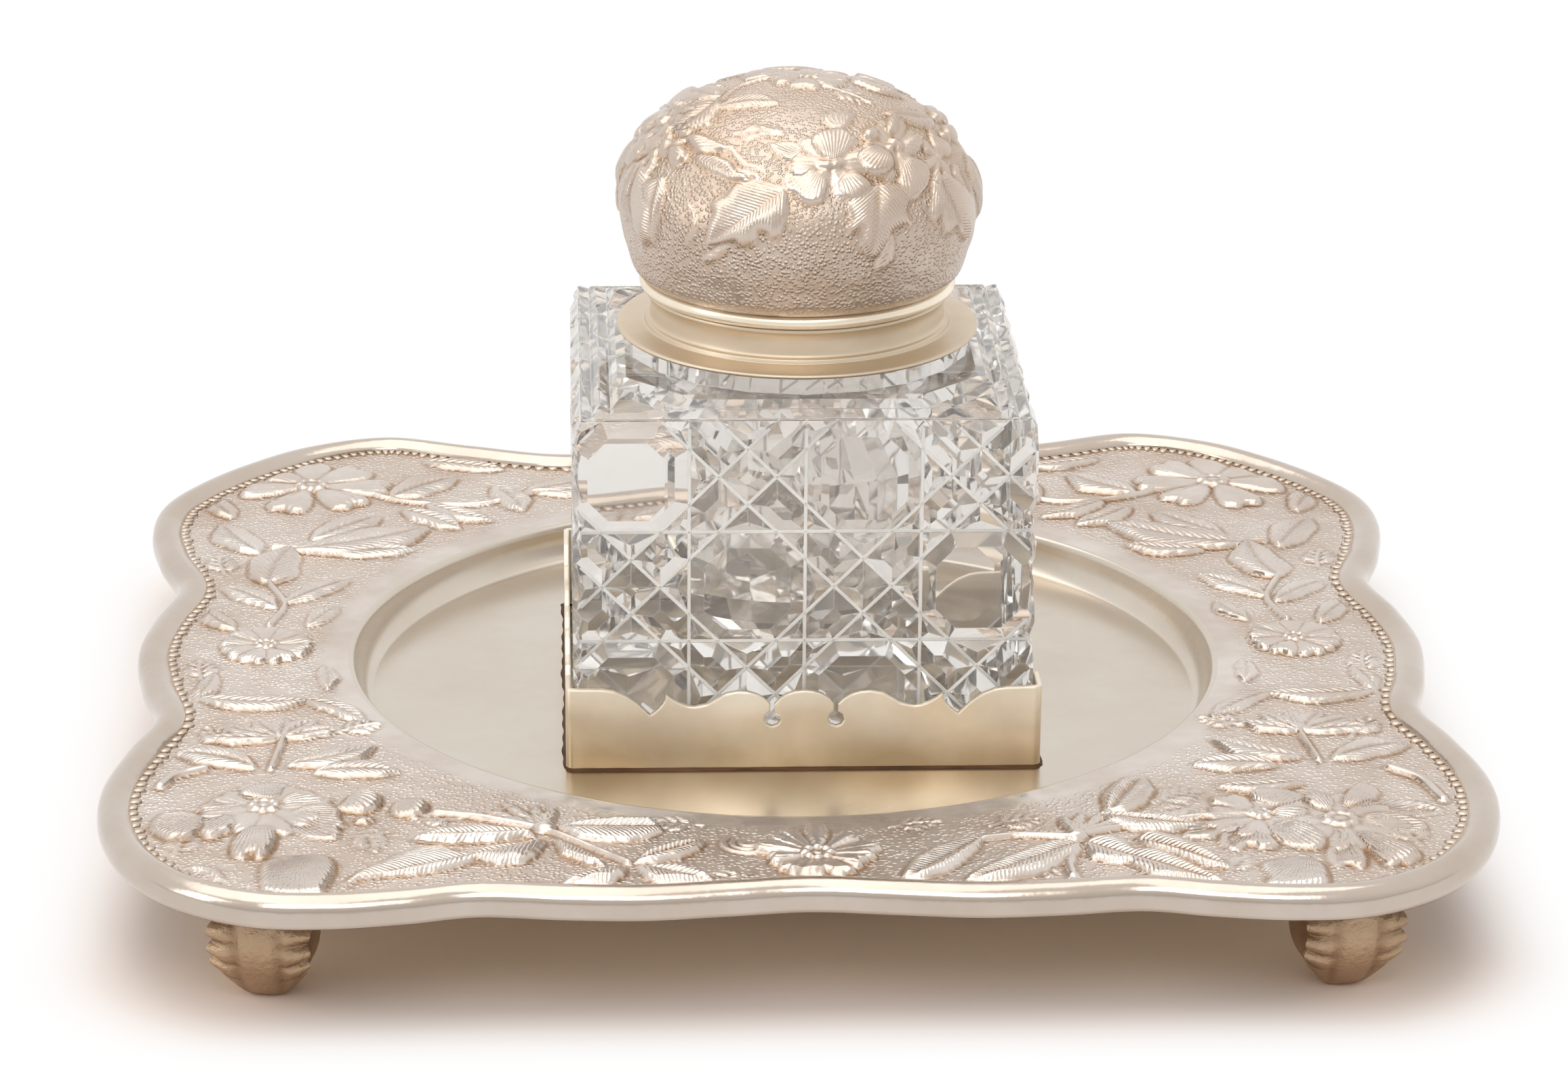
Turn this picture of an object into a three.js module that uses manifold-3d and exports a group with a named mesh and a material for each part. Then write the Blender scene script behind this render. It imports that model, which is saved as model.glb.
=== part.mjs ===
// Desk inkstand: a lobed silver tray on four cast feet, with a square gallery on the floor of
// its round well, and a cut glass inkwell standing in the gallery under a hinged silver lid.
// Sizes are in millimetres. X runs to the right, Y to the back and Z up.
// The origin is on the table, under the middle of the tray.
import * as THREE from 'three';
import { ConvexGeometry } from 'three/addons/geometries/ConvexGeometry.js';
import { mergeVertices } from 'three/addons/utils/BufferGeometryUtils.js';
import Module from 'manifold-3d';

const wasm = await Module();
wasm.setup();

// Clearances
const seatGap = 0.2;            // between a piece and the piece that carries it
const turnGap = 0.3;            // between pieces that turn past each other
const overrun = 1;              // how far a cutter reaches past what it cuts
const slivers = 0.03;           // smallest facets that are kept where many grooves meet

// Tray plate
const trayWidth = 200;
const trayDepth = 196;
const plateThickness = 0.9;
const wellRadius = 65.4;
const wellDepth = 5.6;
const wellWallRun = 2.6;        // how far the sloping wall of the well reaches inwards
const wellLap = 2;              // flat ring of the well pan that is one with the plate
const embossHeight = 0.9;       // flowers and leaves above the plate
const petalCount = 6;

// Rim wire over the edge of the plate
const rimWidth = 4.8;
const rimCrest = 1.7;           // top of the wire above the plate
const rimDrop = 2.8;            // lower lip of the wire below the top of the plate
const rimSheet = 0.6;
const rimToEdge = 1.9;          // from the outside of the wire in to the edge of the plate

// Feet
const footHeight = 17.7;
const footWidth = 14.2;
const footDepth = 17;
const footInsetSide = 25;       // from the edge of the tray in to the middle of a foot
const footInsetFront = 17;
const footInsetBack = 18;
const footTurn = THREE.MathUtils.degToRad(12);
const footRibRelief = 0.45;
const footRibs = 4;

// Gallery
const galleryWidth = 70;
const galleryHeight = 12.6;
const gallerySheet = 0.8;
const galleryCornerRadius = 1.2;
const galleryShiftX = 1.6;      // the frame is soldered a little to the right of the middle
const keyholeRadius = 1.2;
const keyholeSlit = 0.6;

// Glass
const glassClearance = 0.35;    // between the glass and the inside of the gallery
const glassBodyHeight = 53.2;
const shoulderRise = 1.8;
const shoulderRun = 8;
const neckRingRadius = 26;
const neckRingHeight = 2.3;
const glassNeckRadius = 18.7;
const glassNeckHeight = 5.9;
const mouthRadius = 14.5;
const cavityRadius = 20;
const cavityFloor = 12;         // glass left under the ink
const cavityShoulder = 8;       // height over which the cavity narrows to the mouth
const cavityRoof = 5;           // glass left between the cavity and the shoulder
const grooveWidth = 4.3;
const grooveDepth = 1.25;
const topGrooveWidth = 2.6;
const topGrooveDepth = 0.8;
const topGrooveSpacing = 2.7;   // from the edge of the glass to the first groove, and to the next
const cornerGrooveInset = 12.5; // from the corner of the glass in to the grooves that cross it
const cornerGrooveSpacing = 2.6;

// Collar, bezel and plaster
const collarBore = 21.2;
const collarWaist = 22;
const collarFoot = 22.9;
const collarLip = 22.7;
const collarHeight = 6.2;
const flangeRadius = 27;
const flangeThickness = 0.7;
const flangeFall = 0.3;         // how far the flange falls from the neck to its edge
const bezelSheet = 0.7;
const bezelStand = 1.6;         // part of the bezel that stands up inside the lid
const plasterTopInset = 0.4;    // from the top of the glass down to the plaster

// Lid
const lidRadius = 27;
const lidHeight = 32.1;
const lidSheet = 0.7;
const lidFootRadius = 22.6;
const beadRadius = 23.6;
const beadHeight = 1.8;

// Hinge
const barrelRadius = 1.5;
const pinRadius = 0.7;
const pinClearance = 0.08;
const lidKnuckle = 5.8;
const collarKnuckle = 4.3;
const pinHead = 0.3;            // how far the pin stands out at each end
const hingeRise = 0.5;          // hinge axis above the foot of the lid
const leafHeight = 5.2;
const leafThickness = 1.2;      // from the hinge axis to the outside of both leaves
const bearerHeight = 4.6;

// Counts
const outlineSteps = 100;
const turnSteps = 40;
const smallTurnSteps = 16;
const curveSteps = 4;

// Levels, all above the table
const plateBottom = footHeight + seatGap;
const plateTop = plateBottom + plateThickness;
const wellFloor = plateTop - wellDepth;
const glassBottom = wellFloor + seatGap;
const shoulderEdge = glassBottom + glassBodyHeight;
const shoulderTop = shoulderEdge + shoulderRise;
const neckRingTop = shoulderTop + neckRingHeight;
const glassTop = neckRingTop + glassNeckHeight;
const collarBottom = neckRingTop + seatGap;
const collarTop = collarBottom + collarHeight;
const lidBottom = collarTop + seatGap;

// Widths that follow from the sizes above
const glassWidth = galleryWidth - 2 * (gallerySheet + glassClearance);
const bezelRadius = collarBore - seatGap;
const hingeY = beadRadius + turnGap + barrelRadius;
const hingeZ = lidBottom + hingeRise;

// Half of the tray's outline, from the middle of the back edge round the right side to the
// middle of the front edge, as shares of half the tray's width and half its depth.
const outlineShares = [
  [0, 0.955], [0.17, 0.945], [0.33, 0.905], [0.48, 0.95], [0.63, 1], [0.77, 0.95], [0.87, 0.858],
  [0.945, 0.756], [0.99, 0.658], [1, 0.55], [0.98, 0.42], [0.943, 0.275], [0.97, 0.135],
  [0.985, 0], [0.97, -0.14], [0.943, -0.285], [0.975, -0.42], [1, -0.56], [0.995, -0.684],
  [0.955, -0.816], [0.88, -0.923], [0.77, -0.99], [0.66, -1], [0.55, -0.985], [0.46, -0.965],
  [0.34, -0.977], [0.23, -0.982], [0.11, -0.969], [0, -0.957],
];

// Section of the rim wire from its outer lip over the crest to its inner toe, as shares of the
// wire's width inwards and of its whole height upwards.
const rimShares = [
  [0.14, 0], [0.01, 0.14], [0, 0.4], [0.17, 0.8], [0.48, 1], [0.8, 0.93], [1, 0.68],
];

// Embossed leaves of the tray's right half: root and tip as shares of half the tray's width and
// half its depth, then the widest place as a share of the leaf's length. The left mirrors them.
const leafShares = [
  [0.38, -0.714, 0.64, -0.9, 0.36], [0.38, -0.714, 0.5, -0.82, 0.62], [0.36, -0.704, 0.16, -0.7, 0.38],
  [0.24, -0.827, 0.11, -0.91, 0.54], [0.69, -0.79, 0.675, -0.93, 0.8], [0.8, -0.75, 0.83, -0.88, 0.5],
  [0.78, -0.48, 0.88, -0.43, 0.5], [0.73, -0.47, 0.62, -0.4, 0.42], [0.8, 0.3, 0.77, 0.47, 0.5],
  [0.82, 0.44, 0.87, 0.56, 0.5], [0.77, 0.45, 0.56, 0.56, 0.4], [0.62, 0.71, 0.52, 0.8, 0.5],
  [0.4, 0.74, 0.24, 0.83, 0.44], [0.38, 0.72, 0.21, 0.73, 0.36],
];

// Embossed flowers of the right half and of the middle: place as shares of half the tray's width
// and half its depth, and reach as a share of half the width.
const flowerShares = [[0.77, -0.63, 0.135], [0.76, -0.36, 0.09], [0.79, 0.02, 0.096], [0.75, 0.765, 0.12]];
const middleFlowerShares = [[0.02, -0.825, 0.1], [0, 0.82, 0.1]];

// Outline of a petal or a leaf: shares of its length along it, and of its width across it.
const moundShares = [[0, 0], [0.38, 0.5], [0.8, 0.44], [1, 0], [0.8, -0.44], [0.38, -0.5]];
const moundTopShare = 0.76;     // size of its flattened top
const petalWideShare = 0.74;
const petalRootShare = 0.14;    // from the middle of a flower out to the root of a petal

// Side view of a foot as a closed loop, as shares of its depth forwards and its height upwards.
const footShares = [
  [0.3, 1], [0.39, 0.93], [0.46, 0.85], [0.505, 0.77], [0.53, 0.68], [0.54, 0.59], [0.53, 0.5],
  [0.5, 0.41], [0.45, 0.32], [0.385, 0.235], [0.31, 0.15], [0.22, 0.06], [0.12, 0], [-0.08, 0],
  [-0.17, 0.07], [-0.2, 0.25], [-0.26, 0.47], [-0.38, 0.68], [-0.47, 0.84], [-0.48, 1],
];
const footSliceShares = [-1, -0.86, -0.66, -0.46, -0.24, 0.24, 0.46, 0.66, 0.86, 1];
const footFlatShare = 0.25;     // middle part of the width over which the foot keeps its full size
const footCrownShare = 0.2;     // how much smaller the outermost slice is
const footHeartShares = [0.08, 0.6];

// Dome of the lid from above the bead to its top, as shares of its radius and height.
const domeShares = [
  [0.868, 0.068], [0.918, 0.12], [0.968, 0.235], [0.995, 0.355], [1, 0.449], [0.982, 0.535],
  [0.93, 0.625], [0.84, 0.73], [0.72, 0.82], [0.57, 0.89], [0.37, 0.95], [0.16, 0.988], [0, 1],
];

// Upper edge of one side of the gallery, as shares of its width from the middle, and of its
// height down from the corners.
const lobeTopShares = [0, 0.03];
const keyholeShares = [0.067, 0.38];
const keyholeMouthShare = 0.2;
const sideLobeShares = [0.138, 0.035];
const dipShares = [0.23, 0.225];
const peakShares = [0.29, 0.07];
const notchShares = [0.3235, 0.33];
const shoulderStartShares = [0.425, 0.005];

// Levels on the collar's neck, as shares of its height above the flange: top of the foot bead,
// bottom and top of the waist, and the swell under the lip.
const neckShares = [0.1, 0.17, 0.65, 0.85];

// Half-round bead at the foot of the lid: the share of its width that it keeps at the ends.
const beadFlatShare = 0.25;

// The bottom of the ink cavity is a bowl whose depth is this share of its radius.
const bowlShare = 0.5;

// The diagonal mitre grooves pass this share of a cell to either side of a crossing's centre.
const crossShare = 0.25;

// A closed mesh with merged vertices, no flat triangles, and its faces pointing outwards.
function closedGeometry(source) {
  const bare = new THREE.BufferGeometry();
  bare.setAttribute('position', source.getAttribute('position').clone());
  if (source.index) bare.setIndex(source.index.clone());
  const merged = mergeVertices(bare);
  const at = merged.getAttribute('position');
  const corners = merged.index.array;
  const kept = [];
  let volume = 0;
  const [a, b, c] = [new THREE.Vector3(), new THREE.Vector3(), new THREE.Vector3()];
  for (let i = 0; i < corners.length; i += 3) {
    const [p, q, r] = [corners[i], corners[i + 1], corners[i + 2]];
    if (p === q || q === r || r === p) continue;
    kept.push(p, q, r);
    a.fromBufferAttribute(at, p);
    b.fromBufferAttribute(at, q);
    c.fromBufferAttribute(at, r);
    volume += a.dot(b.cross(c));
  }
  merged.setIndex(volume < 0 ? kept.reverse() : kept);
  return merged;
}

// Booleans
function solid(geometry) {
  const closed = closedGeometry(geometry);
  return new wasm.Manifold(new wasm.Mesh({
    numProp: 3,
    vertProperties: Float32Array.from(closed.getAttribute('position').array),
    triVerts: Uint32Array.from(closed.index.array),
  }));
}

function geometryOf(manifold) {
  const mesh = manifold.getMesh();
  const geometry = new THREE.BufferGeometry();
  geometry.setAttribute('position', new THREE.BufferAttribute(mesh.vertProperties, 3));
  geometry.setIndex(new THREE.BufferAttribute(mesh.triVerts, 1));
  return geometry;
}

// A box between two corners.
function box(low, high) {
  const size = high.map((value, axis) => value - low[axis]);
  const middle = high.map((value, axis) => (value + low[axis]) / 2);
  return new THREE.BoxGeometry(...size).translate(...middle);
}

// A cylinder along X about the hinge axis.
function barrel(radius, from, to) {
  const cylinder = new THREE.CylinderGeometry(radius, radius, to - from, smallTurnSteps);
  return cylinder.rotateZ(Math.PI / 2).translate((from + to) / 2, hingeY, hingeZ);
}

// A closed profile of [radius, level] points turned about the Z axis.
function turned(profile, steps = turnSteps) {
  const points = [...profile, profile[0]].map(([radius, level]) => new THREE.Vector2(radius, level));
  return closedGeometry(new THREE.LatheGeometry(points, steps).rotateX(Math.PI / 2));
}

// The line at a distance to the left of a line of [x, y] points.
function offsetLine(line, distance) {
  return line.map(([x, y], i) => {
    const before = line[Math.max(i - 1, 0)];
    const after = line[Math.min(i + 1, line.length - 1)];
    const into = new THREE.Vector2(x - before[0], y - before[1]).normalize();
    const out = new THREE.Vector2(after[0] - x, after[1] - y).normalize();
    const along = into.clone().add(out).normalize();
    const stretch = Math.max(along.dot(out.lengthSq() ? out : into), Math.SQRT1_2);
    return [x - along.y * distance / stretch, y + along.x * distance / stretch];
  });
}

// Rings of points joined side by side: a closed loop of rings, or a row with its ends capped.
function joinedRings(rings, looped) {
  const count = rings[0].length;
  const positions = rings.flat().flatMap((point) => point.toArray());
  const index = [];
  const last = looped ? rings.length : rings.length - 1;
  for (let j = 0; j < last; j += 1) {
    const [here, next] = [j * count, ((j + 1) % rings.length) * count];
    for (let i = 0; i < count; i += 1) {
      const k = (i + 1) % count;
      index.push(here + i, here + k, next + k, here + i, next + k, next + i);
    }
  }
  if (!looped) {
    for (const [ring, start] of [[rings[0], 0], [rings.at(-1), (rings.length - 1) * count]]) {
      const middle = ring.reduce((sum, point) => sum.add(point), new THREE.Vector3());
      const hub = positions.length / 3;
      positions.push(...middle.divideScalar(count).toArray());
      for (let i = 0; i < count; i += 1) {
        const k = (i + 1) % count;
        index.push(hub, ...(start ? [start + i, start + k] : [start + k, start + i]));
      }
    }
  }
  const geometry = new THREE.BufferGeometry();
  geometry.setAttribute('position', new THREE.Float32BufferAttribute(positions, 3));
  geometry.setIndex(index);
  return closedGeometry(geometry);
}

// The tray's outline as evenly spaced points with the unit vectors that point inwards.
function trayOutline() {
  const right = outlineShares.map(([x, y]) => [x * trayWidth / 2, y * trayDepth / 2]);
  const left = right.slice(1, -1).reverse().map(([x, y]) => [-x, y]);
  const nodes = [...right, ...left].map(([x, y]) => new THREE.Vector3(x, y, 0));
  const curve = new THREE.CatmullRomCurve3(nodes, true, 'centripetal');
  curve.arcLengthDivisions = outlineSteps * 8;
  const points = curve.getSpacedPoints(outlineSteps).slice(0, -1);
  const bounds = new THREE.Box3().setFromPoints(points);
  const size = bounds.getSize(new THREE.Vector3());
  const middle = bounds.getCenter(new THREE.Vector3());
  for (const point of points) {
    point.x = (point.x - middle.x) * trayWidth / size.x;
    point.y = (point.y - middle.y) * trayDepth / size.y;
  }
  return points.map((point, i) => {
    const along = points[(i + 1) % outlineSteps].clone();
    along.sub(points[(i + outlineSteps - 1) % outlineSteps]).normalize();
    return { point, inward: new THREE.Vector3(along.y, -along.x, 0) };
  });
}

const outline = trayOutline();

// A low mound with a flattened top from a root to a tip, which stands on the plate.
function mound(root, tip, width) {
  const along = tip.clone().sub(root);
  const across = new THREE.Vector2(-along.y, along.x).normalize();
  const middle = root.clone().add(tip).divideScalar(2);
  const points = moundShares.flatMap(([forward, side]) => {
    const foot = root.clone().addScaledVector(along, forward).addScaledVector(across, side * width);
    const top = foot.clone().sub(middle).multiplyScalar(moundTopShare).add(middle);
    return [
      new THREE.Vector3(foot.x, foot.y, plateTop - plateThickness / 2),
      new THREE.Vector3(top.x, top.y, plateTop + embossHeight),
    ];
  });
  return solid(new ConvexGeometry(points));
}

// The tray's outline, moved inwards, as a sheet that stands on the level of the plate's bottom.
function inwardSheet(inset, thickness, hole) {
  const edge = outline.map(({ point, inward }) => point.clone().addScaledVector(inward, inset));
  const shape = new THREE.Shape(edge.map((point) => new THREE.Vector2(point.x, point.y)));
  if (hole) shape.holes.push(hole);
  return new THREE.ExtrudeGeometry(shape, {
    depth: thickness, bevelEnabled: false, curveSegments: turnSteps,
  }).translate(0, 0, plateBottom);
}

// Embossing: the leaves and the petals of the flowers, which stop short of the rim.
function trayEmbossing() {
  const half = new THREE.Vector2(trayWidth, trayDepth).divideScalar(2);
  const mirrored = (rows) => rows.flatMap(([x, ...rest]) => [[x, ...rest], [-x, ...rest]]);
  const leaves = leafShares.flatMap(([rootX, rootY, tipX, tipY, wide]) => [1, -1].map((side) => {
    const root = new THREE.Vector2(side * rootX, rootY).multiply(half);
    const tip = new THREE.Vector2(side * tipX, tipY).multiply(half);
    return mound(root, tip, wide * root.distanceTo(tip));
  }));
  const petals = [...mirrored(flowerShares), ...middleFlowerShares].flatMap(([x, y, reach]) => {
    const middle = new THREE.Vector2(x, y).multiply(half);
    const length = reach * trayWidth / 2;
    return Array.from({ length: petalCount }, (_, i) => {
      const out = new THREE.Vector2(length, 0);
      out.rotateAround(new THREE.Vector2(), (i / petalCount) * 2 * Math.PI);
      const root = middle.clone().addScaledVector(out, petalRootShare);
      return mound(root, middle.clone().add(out), petalWideShare * length);
    });
  });
  const field = inwardSheet(rimWidth + seatGap, plateThickness + embossHeight);
  return wasm.Manifold.union([...leaves, ...petals]).intersect(solid(field));
}

// Plate: the lobed sheet with the well pan pressed into it and the embossing on it.
function trayPlate() {
  const hole = new THREE.Path();
  hole.absarc(0, 0, wellRadius + wellLap / 2, 0, 2 * Math.PI, false);
  const flat = inwardSheet(rimToEdge, plateThickness, hole);
  const floorRadius = wellRadius - wellWallRun;
  const wall = [];
  for (let i = 0; i <= curveSteps; i += 1) {
    const turn = (i / curveSteps) * (Math.PI / 2);
    wall.push([
      floorRadius + wellWallRun * Math.sin(turn),
      wellFloor + wellDepth * (1 - Math.cos(turn)),
    ]);
  }
  const upper = [[0, wellFloor], ...wall, [wellRadius + wellLap, plateTop]];
  const lower = offsetLine(upper, -plateThickness);
  lower[0] = [0, wellFloor - plateThickness];
  lower[lower.length - 1] = [wellRadius + wellLap, plateBottom];
  const pan = turned([...upper, ...lower.reverse()]);
  return geometryOf(wasm.Manifold.union([solid(flat), solid(pan), trayEmbossing()]));
}

// Rim: the hollow wire carried round the outline.
function trayRim() {
  const height = rimCrest + rimDrop;
  const outer = rimShares.map(([inwards, up]) => [inwards * rimWidth, up * height - rimDrop]);
  outer[outer.length - 1][1] = seatGap;
  const inner = offsetLine(outer, -rimSheet);
  inner[inner.length - 1] = [rimWidth - rimSheet, seatGap];
  const section = [...outer, ...inner.reverse()];
  return joinedRings(outline.map(({ point, inward }) => section.map(([inwards, up]) => (
    point.clone().addScaledVector(inward, inwards).setZ(plateTop + up)
  ))), true);
}

// Foot: the side view carried across the width. The slices shrink towards both sides, and the
// front of the outer ones swells into ribs.
function castFoot() {
  const [heartForward, heartUp] = [footHeartShares[0] * footDepth, footHeartShares[1] * footHeight];
  const slices = footSliceShares.map((across) => {
    const off = Math.max(Math.abs(across) - footFlatShare, 0) / (1 - footFlatShare);
    const scale = 1 - footCrownShare * off * off;
    return footShares.map(([forwardShare, upShare]) => {
      const isFront = forwardShare > footHeartShares[0] && upShare > 0 && upShare < 1;
      const rib = isFront ? Math.cos(2 * Math.PI * footRibs * upShare) * footRibRelief * off : 0;
      const forward = heartForward + (forwardShare * footDepth - heartForward) * scale + rib;
      const up = heartUp + (upShare * footHeight - heartUp) * scale;
      return new THREE.Vector3(across * footWidth / 2, -forward, upShare < 1 ? up : footHeight);
    });
  });
  return joinedRings(slices, false);
}

// Gallery: one side's upper edge, from the middle to the right corner.
function galleryEdge() {
  const at = ([across, down]) => (
    new THREE.Vector2(across * galleryWidth, galleryHeight * (1 - down))
  );
  const top = at(lobeTopShares);
  const hole = at(keyholeShares);
  const mouth = at([keyholeShares[0], keyholeMouthShare]);
  const lobe = at(sideLobeShares);
  const dip = at(dipShares);
  const peak = at(peakShares);
  const notch = at(notchShares);
  const shoulder = at(shoulderStartShares);
  const corner = new THREE.Vector2(galleryWidth / 2, galleryHeight);
  const half = keyholeSlit / 2;
  const left = new THREE.Vector2(mouth.x - half, mouth.y);
  const right = new THREE.Vector2(mouth.x + half, mouth.y);
  const opening = Math.asin(half / keyholeRadius);
  const keyhole = new THREE.EllipseCurve(
    hole.x, hole.y, keyholeRadius, keyholeRadius,
    Math.PI / 2 + opening, 2.5 * Math.PI - opening, false,
  );
  const bend = (from, by, to) => new THREE.QuadraticBezierCurve(from, by, to).getPoints(curveSteps);
  const wave = (from, to) => new THREE.CubicBezierCurve(
    from, new THREE.Vector2((from.x + to.x) / 2, from.y),
    new THREE.Vector2((from.x + to.x) / 2, to.y), to,
  ).getPoints(curveSteps);
  return [
    ...bend(top, new THREE.Vector2((top.x + 2 * left.x) / 3, top.y), left),
    ...keyhole.getPoints(2 * curveSteps),
    ...bend(right, new THREE.Vector2((2 * right.x + lobe.x) / 3, lobe.y), lobe),
    ...wave(lobe, dip).slice(1),
    ...bend(dip, new THREE.Vector2((dip.x + peak.x) / 2, dip.y), peak).slice(1),
    ...bend(peak, new THREE.Vector2(peak.x, (peak.y + notch.y) / 2), notch).slice(1),
    ...bend(notch, new THREE.Vector2((notch.x + shoulder.x) / 2, shoulder.y), shoulder).slice(1),
    corner,
  ];
}

function gallery() {
  const half = galleryEdge();
  const mirrored = half.slice(1).reverse().map((point) => new THREE.Vector2(-point.x, point.y));
  const side = new THREE.Shape([
    ...mirrored, ...half,
    new THREE.Vector2(galleryWidth / 2, 0), new THREE.Vector2(-galleryWidth / 2, 0),
  ]);
  const depth = galleryWidth + 2 * overrun;
  const across = new THREE.ExtrudeGeometry(side, { depth, bevelEnabled: false });
  across.translate(0, 0, -depth / 2).rotateX(Math.PI / 2);
  const along = across.clone().rotateZ(Math.PI / 2);
  const square = (width, radius) => {
    const reach = width / 2;
    const inner = reach - radius;
    const path = new THREE.Path();
    path.absarc(inner, inner, radius, 0, Math.PI / 2, false);
    path.absarc(-inner, inner, radius, Math.PI / 2, Math.PI, false);
    path.absarc(-inner, -inner, radius, Math.PI, 1.5 * Math.PI, false);
    path.absarc(inner, -inner, radius, 1.5 * Math.PI, 2 * Math.PI, false);
    return path.getPoints(curveSteps).slice(0, -1);
  };
  const frame = new THREE.Shape(square(galleryWidth, galleryCornerRadius));
  const inside = square(galleryWidth - 2 * gallerySheet, galleryCornerRadius - gallerySheet);
  frame.holes.push(new THREE.Path(inside));
  const walls = new THREE.ExtrudeGeometry(frame, {
    depth: galleryHeight, bevelEnabled: false, curveSegments: curveSteps,
  });
  const cut = solid(walls).intersect(solid(across)).intersect(solid(along));
  return geometryOf(cut).translate(0, 0, wellFloor + seatGap);
}

// A V-shaped cutter along X, with its point down in the glass and its open side up.
function mitre(width, depth, length) {
  const half = width / 2;
  const flare = (depth + overrun) / depth;
  const wedge = new THREE.Shape([
    new THREE.Vector2(0, -depth),
    new THREE.Vector2(half * flare, overrun),
    new THREE.Vector2(-half * flare, overrun),
  ]);
  const prism = new THREE.ExtrudeGeometry(wedge, { depth: length, bevelEnabled: false });
  return prism.translate(0, 0, -length / 2).rotateX(Math.PI / 2).rotateZ(Math.PI / 2);
}

// Cutters for one side of the glass: a grid of upright and level grooves, and pairs of diagonal
// grooves that cross in every second cell and leave eight-sided windows in the others.
function sideCutters() {
  const cell = glassWidth / 4;
  const reach = glassWidth / 2;
  const rows = Math.floor(glassBodyHeight / cell);
  const length = 2 * (glassWidth + glassBodyHeight);
  const firstRow = shoulderEdge - cell / 2;
  const cutters = [];
  const add = (across, level, turn) => {
    const cutter = mitre(grooveWidth, grooveDepth, length).rotateZ(turn);
    cutters.push(cutter.rotateX(Math.PI / 2).translate(across, -reach, level));
  };
  for (let column = -2; column <= 2; column += 1) add(column * cell, firstRow, Math.PI / 2);
  for (let row = 0; row <= rows; row += 1) add(0, shoulderEdge - row * cell, 0);
  for (let pair = -3; pair <= 3; pair += 1) {
    for (const side of [-crossShare, crossShare]) {
      const across = (2 * pair - 0.5 + side) * cell;
      for (const turn of [Math.PI / 4, -Math.PI / 4]) add(across, firstRow, turn);
    }
  }
  return cutters;
}

// Cutters for one edge of the shoulder, and for the grooves that cross one of its corners.
function shoulderCutters() {
  const slope = Math.atan2(shoulderRise, shoulderRun);
  const reach = glassWidth / 2;
  const cutters = [1, 2].map((place) => {
    const cutter = mitre(topGrooveWidth, topGrooveDepth, 2 * glassWidth).rotateX(slope);
    const inset = place * topGrooveSpacing;
    return cutter.translate(0, inset - reach, shoulderEdge + inset * Math.tan(slope));
  });
  for (const step of [0, 1]) {
    const inset = cornerGrooveInset + step * cornerGrooveSpacing;
    const cutter = mitre(topGrooveWidth, topGrooveDepth, 2 * reach).translate(
      0, inset - reach * Math.SQRT2, shoulderTop - topGrooveDepth / 2,
    );
    cutters.push(cutter.rotateZ(Math.PI / 4));
  }
  return cutters;
}

function inkwellGlass() {
  const reach = glassWidth / 2;
  const square = (half) => half * Math.SQRT2;
  const block = box([-reach, -reach, glassBottom], [reach, reach, shoulderEdge]);
  const shoulder = new THREE.CylinderGeometry(
    square(reach - shoulderRun), square(reach), shoulderRise, 4,
  ).rotateY(Math.PI / 4).rotateX(Math.PI / 2).translate(0, 0, (shoulderEdge + shoulderTop) / 2);
  const ring = turned([
    [0, shoulderEdge], [neckRingRadius, shoulderEdge], [neckRingRadius, neckRingTop],
    [0, neckRingTop],
  ], turnSteps / 2);
  const neck = turned([
    [0, shoulderEdge], [glassNeckRadius, shoulderEdge], [glassNeckRadius, glassTop], [0, glassTop],
  ], turnSteps / 2);
  let body = solid(block).add(solid(shoulder));
  for (let side = 0; side < 4; side += 1) {
    for (const cutter of [...sideCutters(), ...shoulderCutters()]) {
      body = body.subtract(solid(cutter.rotateZ(side * Math.PI / 2)));
    }
  }
  body = body.add(solid(ring)).add(solid(neck));
  const floor = glassBottom + cavityFloor;
  const roof = shoulderEdge - cavityRoof;
  const bowl = [];
  for (let i = 0; i <= curveSteps; i += 1) {
    const turn = (i / curveSteps) * (Math.PI / 2);
    bowl.push([
      cavityRadius * Math.sin(turn), floor + bowlShare * cavityRadius * (1 - Math.cos(turn)),
    ]);
  }
  const cavity = turned([
    ...bowl, [cavityRadius, roof - cavityShoulder], [mouthRadius, roof],
    [mouthRadius, glassTop + overrun], [0, glassTop + overrun],
  ], 2 * smallTurnSteps);
  return geometryOf(body.subtract(solid(cavity)).simplify(slivers));
}

// Rings between the glass and the lid
function collarOutside() {
  const step = flangeThickness / 2;
  const deck = collarBottom + flangeThickness + flangeFall;
  const [footTop, waistBottom, waistTop, swell] = neckShares.map(
    (share) => deck + share * (collarTop - deck),
  );
  return [
    [flangeRadius - step, collarBottom], [flangeRadius, collarBottom + step],
    [flangeRadius - step, collarBottom + flangeThickness], [collarFoot, deck],
    [collarFoot, footTop], [collarWaist, waistBottom], [collarWaist, waistTop],
    [(collarWaist + collarLip) / 2, swell], [collarLip, collarTop],
  ];
}

function collar() {
  return turned([...collarOutside(), [collarBore, collarTop], [collarBore, collarBottom]]);
}

function collarBezel() {
  const inside = bezelRadius - bezelSheet;
  const top = collarTop + bezelStand;
  return turned([
    [inside, collarBottom], [bezelRadius, collarBottom], [bezelRadius, top], [inside, top],
  ]);
}

function plasterRing() {
  const [inside, outside] = [glassNeckRadius + seatGap, bezelRadius - bezelSheet - seatGap];
  const [bottom, top] = [neckRingTop + seatGap, glassTop - plasterTopInset];
  return turned([[inside, bottom], [outside, bottom], [outside, top], [inside, top]], turnSteps / 2);
}

// Lid and its bead
function domeLine() {
  return domeShares.map(([radius, up]) => [radius * lidRadius, lidBottom + up * lidHeight]);
}

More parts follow.
